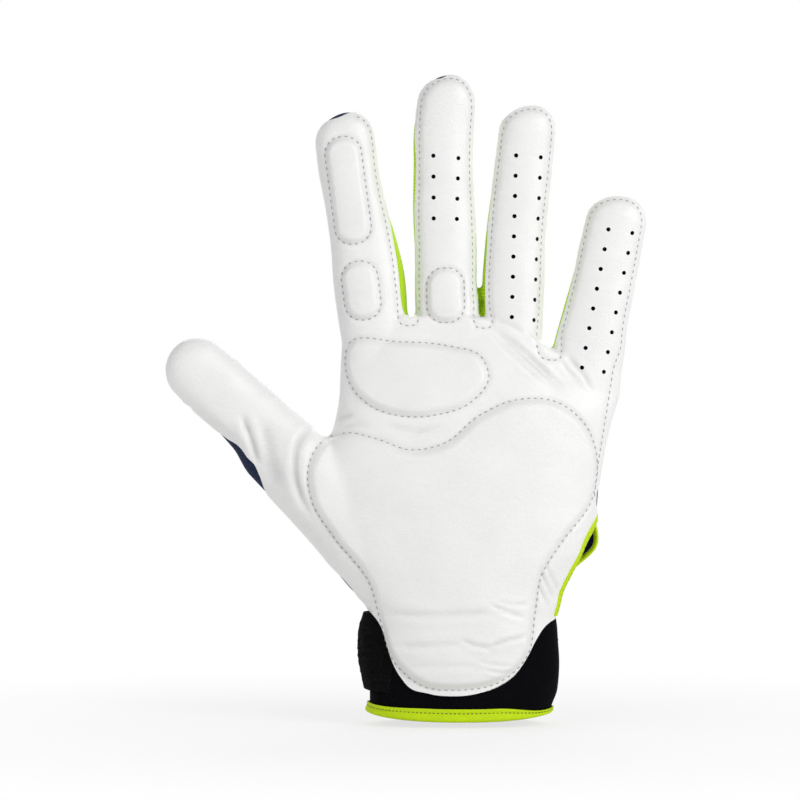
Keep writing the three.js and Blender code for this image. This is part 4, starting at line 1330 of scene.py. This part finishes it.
def wrist_point(degrees, z, offset):
    """A point of the wrist section, by its angle (0 towards +X, 90 at the back), height and offset outwards."""
    turn, z = np.radians(np.asarray(degrees, float)), np.broadcast_to(z, np.shape(degrees))
    left, right = (hand_measure(k, np.clip(z, 0, WIDTH_TOP)) for k in (1, 2))
    front, back = (hand_measure(k, np.clip(z, 0, DEPTH_TOP)) for k in (3, 4))
    x, y = superellipse(turn, (right - left) / 2 + offset, front + offset, back + offset, SQUARE)
    on_right, on_left = ease(0.3, 1, np.cos(turn)), ease(0.3, 1, -np.cos(turn))
    x = x + on_right * (RIGHT_SWELL * ease(12, 26, z) * ease(42, 34, z) - RIGHT_DRAW * ease(12, 5, z))
    narrow = 1 - HEM_NARROW[0] * on_right - HEM_NARROW[1] * on_left
    above = np.clip(z - HEM_HEIGHT, 0, None)
    share = 1 - above / (CUFF["top"] - HEM_HEIGHT)
    height = above + np.clip(z, None, HEM_HEIGHT) * (1 - share * (1 - narrow)) + share * hem_lift(turn)
    return np.stack([x + (left + right) / 2, y, height], axis=-1)


def wrist_grid(name, degrees, heights, offset):
    """A surface from a grid of angles and heights: offset(share along, share up) may bend it in and out."""
    bm = bmesh.new()
    bmesh.ops.create_grid(bm, x_segments=len(degrees) - 1, y_segments=len(heights) - 1, size=1)
    obj = object_from(name, bm)
    flat = get_points(obj.data)
    u, v = (flat[:, 0] + 1) / 2, (flat[:, 1] + 1) / 2
    angle = np.interp(u, np.linspace(0, 1, len(degrees)), degrees)
    height = np.interp(v, np.linspace(0, 1, len(heights)), heights)
    set_points(obj.data, wrist_point(angle, height, offset(u, v)))
    return obj


def outward(obj):
    """Turns the faces of an open band to look away from the wrist's middle."""
    points, normals = get_points(obj.data), read(obj.data.vertices, "normal")
    if (points[:, 0] * normals[:, 0] + points[:, 1] * normals[:, 1]).sum() < 0:
        obj.data.flip_normals()


def angle_at(y, side, offset):
    """The wrist angle where the section crosses a depth y on the left (-1) or right (1) side."""
    degrees = np.linspace(-90, 90, 2000) if side > 0 else np.linspace(270, 90, 2000)
    return float(degrees[np.argmin(np.abs(wrist_point(degrees, 20, offset)[:, 1] - y))])


print("wrist: %.0f x %.0f mm" % tuple(np.ptp(wrist_point(np.arange(0, 360, 2), 20, 0), axis=0)[:2]))

# %% Sew the cuff and the hem
CUFF_GRID, HEM_GRID = (150, 40), (260, 43)  # points round the wrist and up, or along the profile
CUFF_WAVE, HEM_WAVE = 0.25, 0.1  # uneven swell of the two
CUFF_EDGE = ("BEVEL", dict(width=0.5, segments=2, limit_method="ANGLE"))
HEM_WALL = 0.7
left_seam = angle_at(CUFF["seam"], -1, CUFF["outer"])
front_slit = angle_at(CUFF["slit"][0], 1, CUFF["outer"])
back_slit = angle_at(CUFF["slit"][1], 1, CUFF["outer"])
bands = {"cuff_front": (left_seam, 360 + front_slit), "cuff_back": (back_slit, left_seam - 0.1)}
cuffs = {}
for name, (start, end) in bands.items():
    turns, heights = np.linspace(start, end, CUFF_GRID[0]), np.linspace(CUFF["bottom"], CUFF["top"], CUFF_GRID[1])
    obj = wrist_grid(name + "_panel", turns, heights,
                     lambda u, v: CUFF["outer"] + CUFF_WAVE * np.sin(9 * u + 3 * v) * np.sin(np.pi * v))
    outward(obj)
    thicken(obj, CUFF["thick"], [neoprene], 40, [CUFF_EDGE])
    cuffs[name] = obj
    print(obj.name, "faces:", len(obj.data.polygons))

# The tape is folded round the raw edge of the neoprene: its profile runs from the outer lip, under the edge, to the
# inner lip.
lip_z = [5.0, 4.2, 3.4, 2.6, 1.4, 0.6, 0.15, 0.0, 0.0, 0.0, 0.15, 0.6, 1.6, 3.2, 5.0]
lip_out = [-0.75, -0.45, -0.62, -0.2, 0.1, -0.05, -0.6, -1.5, -2.85, -4.1, -4.75, -5.1, -5.2, -5.2, -5.2]
profile = np.linspace(0, 1, len(lip_z))
fine = np.linspace(0, 1, HEM_GRID[1])
hem_angles = np.linspace(back_slit, 360 + front_slit, HEM_GRID[0])
hem = wrist_grid("hem_tape", hem_angles, smooth_curve(profile, lip_z, fine),
                 lambda u, v: smooth_curve(profile, lip_out, v) + HEM_WAVE * np.sin(61 * u) * np.sin(23 * u))
outward(hem)
thicken(hem, HEM_WALL, [binding], 60)
print("hem faces:", len(hem.data.polygons))

# %% Stitch the hem
HEM_PITCH, HEM_STITCH = 1.6, (0.5, 0.2)  # step of the stitches, and their half length and half width
HEM_ROW = (3.4, -0.62)  # height and offset of the row, in the dip of the profile
hem_spots = []
ring = wrist_point(np.linspace(back_slit + 2, 358 + front_slit, 4000), *HEM_ROW)
run = np.r_[0, np.cumsum(np.linalg.norm(np.diff(ring, axis=0), axis=1))]
for at in np.arange(HEM_PITCH, run[-1] - HEM_PITCH, HEM_PITCH):
    point, ahead = (np.array([np.interp(s, run, ring[:, k]) for k in range(3)]) for s in (at, at + 0.2))
    along = Vector(ahead - point).normalized()
    hem_spots.append((Vector(point), along, along.cross(Vector((0, 0, 1)))))
hem_thread = sew("hem_stitches", hem_spots, HEM_STITCH, olive_thread)
print("hem stitches:", len(hem_spots))

# %% Make the strap and its grip patches
STRAP = dict(low=10.5, high=41.5, inner=0.7, thick=2.2, end=27.0, corner=9.0)
# height and angle of the strap's sewn end, which lies under the edge of the leather
ROOT_EDGE = [(10.5, 221.0), (18, 223.0), (24, 225.0), (29, 222.5), (34, 218.0), (38, 210.0), (41.5, 203.0)]
STRAP_SWELL = [(0, 0.8), (0.18, 1.7), (0.35, 2.7), (0.56, 3.0), (0.86, 2.2), (1, 0.9)]  # share of its width, offset
GRIP = dict(low=15.0, high=37.0, thick=0.6, gap=0.36, start=29.0, loop_end=47.0, hook_end=55.0, corner=3.0)
DEGREES_PER_MM = 1.55  # round the wrist, about
STRAP_GRID, GRIP_GRID = (190, 38), (30, 20)  # columns and rows
SEWN = (0.9, 0.995)  # shares of the strap's length between which it goes down to its sewn end
SEWN_DEPTH, SEWN_THIN = -1.2, 0.86  # offset at the sewn end, and the share of its thickness that it loses there


def strap_surface(name, spec, end, root_edge, corner, offset, grid):
    """A band round the wrist from its free end with round corners to its root, one angle or (height, angle) pairs."""
    columns, rows = (np.linspace(0, 1, count) for count in grid)
    obj = wrist_grid(name, columns, rows, lambda u, v: 0 * u)
    u, v = (share.ravel() for share in np.meshgrid(columns, rows))
    z = spec["low"] + v * (spec["high"] - spec["low"])
    near_edge = np.clip(corner - np.minimum(z - spec["low"], spec["high"] - z), 0, None)
    start = end + (corner - np.sqrt(corner**2 - near_edge**2)) * DEGREES_PER_MM
    last = np.interp(z, *np.array(root_edge).T) if isinstance(root_edge, list) else root_edge
    set_points(obj.data, wrist_point(start + u * (last - start), z, offset(u, v)))
    outward(obj)
    return obj


def fuzz_lift(u, v):
    """Small uneven tufts over the strap, flatter at its edges."""
    waves = ((31, 7, 0.3), (53, 17, 1.7), (17, 29, 2.6), (83, 23, 0.9), (111, 41, 4.1))
    tufts = sum(0.09 * np.sin(2 * np.pi * (a * u + b * v) + phase) for a, b, phase in waves)
    return tufts * (0.25 + 0.75 * ease(0, 0.12, np.minimum(v, 1 - v)))


def strap_top(u, v):
    """Offset of the strap's outer face: fuzzy, pulled in at its long edges and pressed flat where it is sewn down."""
    flat_part = STRAP["inner"] + STRAP["thick"] - 0.5 * (2 * np.abs(v - 0.5)) ** 6
    pulled = smooth_curve(*np.array(STRAP_SWELL).T, v)
    free = flat_part + (pulled - flat_part) * ease(0.2, 0.45, u) + fuzz_lift(u, v)
    return free + ease(*SEWN, u) * (SEWN_DEPTH - free)


strap = strap_surface("wrist_strap_band", STRAP, STRAP["end"], ROOT_EDGE, STRAP["corner"], strap_top, STRAP_GRID)
full = strap.vertex_groups.new(name="full")
columns, rows = STRAP_GRID
for k in range(columns):  # the thickness fades out towards the sewn end
    share = 1 - SEWN_THIN * ease(*SEWN, k / (columns - 1))
    full.add(range(k, columns * rows, columns), float(share), "REPLACE")
thicken(strap, STRAP["thick"], [webbing], vertex_group="full")
grips = {}
for name, out, last in (("loop_patch", CUFF["outer"] + GRIP["gap"] + GRIP["thick"], GRIP["loop_end"]),
                        ("hook_patch", STRAP["inner"] - GRIP["gap"], GRIP["hook_end"])):
    grips[name] = strap_surface(name + "_tape", GRIP, GRIP["start"], last, GRIP["corner"], lambda u, v: out + 0 * u,
                                GRIP_GRID)
    thicken(grips[name], GRIP["thick"], [tape])
print("strap faces:", len(strap.data.polygons))

# %% Bind the vent
# A folded tape follows the edge of the vent. Its middle line is found on the uncut skin, looking from the little
# finger's side, and a flat oval section is lofted along it.
# half widths in front and at the back, half thickness, and how far it lies outside the vent's edge and sunk in
TAPE = dict(front=1.35, back=2.5, half_thick=0.85, lap=0.7, sunk=0.25)
TAPE_FOOT = 41.0  # height where the tape starts on the leather's edge
TAPE_STITCH = (0.55, 0.2)
VENT_POWER = 2 / 3  # the vent's round end is a superellipse, as vent_open says
sweep = np.linspace(0, np.pi, 30)
cap_y = SEAM - (np.where(sweep < np.pi / 2, VENT["front"], VENT["back"]) + TAPE["lap"]) * (
    np.sign(np.cos(sweep)) * np.abs(np.cos(sweep)) ** VENT_POWER)
cap_z = VENT["widest"] + (VENT["top"] + TAPE["lap"] - VENT["widest"]) * np.sin(sweep) ** VENT_POWER
vent_line = np.vstack([
    np.column_stack([np.full(16, cap_y[0]), np.linspace(TAPE_FOOT, VENT["widest"] - 1, 16)]),
    np.column_stack([cap_y, cap_z]),
    np.column_stack([np.full(12, cap_y[-1]), np.linspace(VENT["widest"] - 1, BACK_EDGE + 0.5, 12)])])
path, ways = [], []
for y, z in even(vent_line, 1.0):
    point, normal, face, gap = skin_tree.ray_cast(Vector((120, y, z)), Vector((-1, 0, 0)))
    path.append(np.array(point - normal * TAPE["sunk"]))
    ways.append(np.array(normal))
path, ways = np.array(path), np.array(ways)
for _ in range(6):  # even out the line, ends kept
    path[1:-1] = (path[:-2] + 2 * path[1:-1] + path[2:]) / 4
    ways[1:-1] = (ways[:-2] + 2 * ways[1:-1] + ways[2:]) / 4
ahead = np.gradient(path, axis=0)
beside = np.cross(ahead, ways)
beside /= np.linalg.norm(beside, axis=1)[:, None]
turn = np.linspace(0, 2 * np.pi, 16, endpoint=False)
oval_x, oval_y = superellipse(turn, 1.0, TAPE["half_thick"], TAPE["half_thick"], 2.6)
half_widths = TAPE["front"] + (TAPE["back"] - TAPE["front"]) * ease(0.3, 0.5, np.linspace(0, 1, len(path)))
rings = [point + np.outer(oval_x, side * half) + np.outer(oval_y, way)
         for point, side, way, half in zip(path, beside, ways, half_widths)]
vent_tape = object_from("vent_tape", loft(rings))
vent_tape.data.materials.append(binding.mat)
smooth_shade(vent_tape, 60)
tape_spots = []
for k in range(2, len(path) - 2, 2):
    along = Vector(path[k + 1] - path[k - 1]).normalized()
    tape_spots.append((Vector(path[k] + ways[k] * (TAPE["half_thick"] - 0.06)), along, Vector(ways[k]).normalized()))
vent_thread = sew("vent_stitches", tape_spots, TAPE_STITCH, lime_thread)
print("vent tape: %.0f mm" % np.linalg.norm(np.diff(path, axis=0), axis=1).sum(), "stitches:", len(tape_spots))

# %% [markdown]
# ## Moving with the hand
# Every piece is scaled to metres. The palm, the cuff and the other pieces of the hand follow the hand body of the
# imported model, and the hook patch follows the strap. The pieces of the digits and the strap band keep their place
# as they are, with their transform baked.

# %% Attach the pieces
FOAM_SEGMENTS = {"palm_pad": "hand", "knuckle_pad": "hand", "index_tip_pad": "index_upper",
                 "index_base_pad": "index_lower", "middle_base_pad": "middle_lower"}


def to_metres(obj):
    obj.data.transform(Matrix.Scale(MM, 4))
    obj.data.update()


def attach(obj, segment, node=None):
    """Scales a piece to metres, lets a piece of the hand or the strap follow that body, bakes the transform of a
    digit's piece, and hides the imported part that it replaces.
    """
    to_metres(obj)
    if segment in ("hand", "strap"):
        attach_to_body(obj, segment)
    else:
        digit, half = segment.split("_")
        base, across, along = axes(digit)
        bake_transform(obj)
    if node:
        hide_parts(node)


def segment_name(node):
    """The segment that a node's name starts with, or hand."""
    words = node.split("_")
    return "_".join(words[:2]) if words[0] in DIGITS and words[1] in ("lower", "upper") else "hand"


for node, obj in panels.items():
    obj.name = node + "_cloth"
    attach(obj, segment_name(node), node)
for segment, obj in [*threads.items(), ("hand", hem_thread), ("hand", vent_thread)]:
    attach(obj, segment)
for pad, obj in foams.items():
    attach(obj, FOAM_SEGMENTS[pad], pad + "_foam")
for name, obj in cuffs.items():
    attach(obj, "hand", name)
attach(hem, "hand", "hem_binding")
attach(vent_tape, "hand", "vent_binding")
attach(grips["loop_patch"], "hand", "loop_patch")
attach(grips["hook_patch"], "strap", "hook_patch")
attach(lining, "hand", "palm_lining")
to_metres(strap)
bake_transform(strap)
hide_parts("strap_root", "wrist_strap")

# %% [markdown]
# ## Camera, floor and light
# The photograph looks straight at the palm on a white ground, with soft light that is stronger from the right. The
# floor is a plain pale sheet under the glove, and both floor and world look white to the camera without lighting the
# glove too strongly.

# %% Camera
PIXEL, IMAGE, SENSOR = 0.38, 800, 36.0  # millimetres of the palm plane in one pixel, pixels in the image
camera = new_object("camera", bpy.data.cameras.new("camera"))
camera.location = (EYE["x"] * MM, -EYE["distance"] * MM, EYE["z"] * MM)
camera.rotation_euler = (math.pi / 2, 0, 0)
camera.data.sensor_width = SENSOR
camera.data.lens = SENSOR * EYE["distance"] / (IMAGE * PIXEL)
camera.data.clip_start = 0.01
bpy.context.scene.camera = camera
print("lens: %.1f mm" % camera.data.lens)

# %% Floor and world
PALE, WHITE = 0.9, (1, 1, 1, 1)
SHADOW_SHARE = 0.28  # how much of the lit floor the camera sees under the glove; further away it fades to white
SHADOW_REACH = (0.05, 0.3)  # metres between which it fades
STUDIO = 0.38  # strength of the light from all around


def seen_directly(nodes):
    """1 for the rays that look at a thing or mirror it, 0 for the light that it sends on to other things."""
    rays = nodes.add("LightPath").outputs
    seen = rays["Is Camera Ray"]
    for other in ("Is Glossy Ray", "Is Transmission Ray"):
        seen = nodes.maths("MAXIMUM", seen, rays[other])
    return seen


def show_mixed(nodes, output, factor, first, second):
    """Shows a mix of two shaders at a tree's output."""
    mix = nodes.add("MixShader", {"Fac": factor, 1: first.outputs[0], 2: second.outputs[0]})
    nodes.feed(nodes.tree.nodes[output].inputs["Surface"], mix.outputs[0])


bm = bmesh.new()
bmesh.ops.create_grid(bm, x_segments=8, y_segments=8, size=2.5, matrix=Matrix.Translation((0, 0, -0.0005)))
floor = object_from("floor", bm)
ground = Finish("floor", 0.9, Specular_IOR_Level=0.0)
ground.paint(ground.noise(3.0), (0.0, (PALE - 0.02,) * 3), (1.0, (PALE,) * 3))
radius = ground.add("VectorMath", {0: ground.coords}, operation="LENGTH").outputs["Value"]
away = ground.ranged(radius, SHADOW_REACH, (1 - SHADOW_SHARE, 1.0), interpolation_type="SMOOTHSTEP")
direct = ground.maths("MULTIPLY", seen_directly(ground), away)
show_mixed(ground, "Material Output", direct, ground.shader, ground.add("Emission"))
floor.data.materials.append(ground.mat)
world = bpy.data.worlds.new("studio")
world.use_nodes = True
studio = Nodes(world.node_tree)
ambient, backdrop = studio.tree.nodes["Background"], studio.add("Background", {"Color": WHITE})
studio.feed(ambient.inputs["Color"], WHITE)
studio.feed(ambient.inputs["Strength"], STUDIO)
show_mixed(studio, "World Output", seen_directly(studio), ambient, backdrop)
bpy.context.scene.world = world
print("floor and backdrop are white to the eye, the light of the studio is %.2f" % STUDIO)

# %% Lights
AIM = Vector((-0.022, 0, 0.12))


def soft_light(name, place, size, power):
    """A square area light aimed at the middle of the glove."""
    light = bpy.data.lights.new(name, "AREA")
    light.size, light.energy = size, power
    obj = new_object(name, light)
    obj.location = place
    obj.rotation_euler = (AIM - Vector(place)).to_track_quat("-Z", "Y").to_euler()


soft_light("key", (0.8, -0.8, 0.55), 0.6, 7.7)
soft_light("fill", (-0.8, -0.8, 0.35), 0.8, 3.1)
soft_light("back", (0.1, 0.9, 0.6), 0.9, 6.0)
bpy.context.scene.view_settings.view_transform = "Standard"
print("lights:", len(bpy.data.lights))
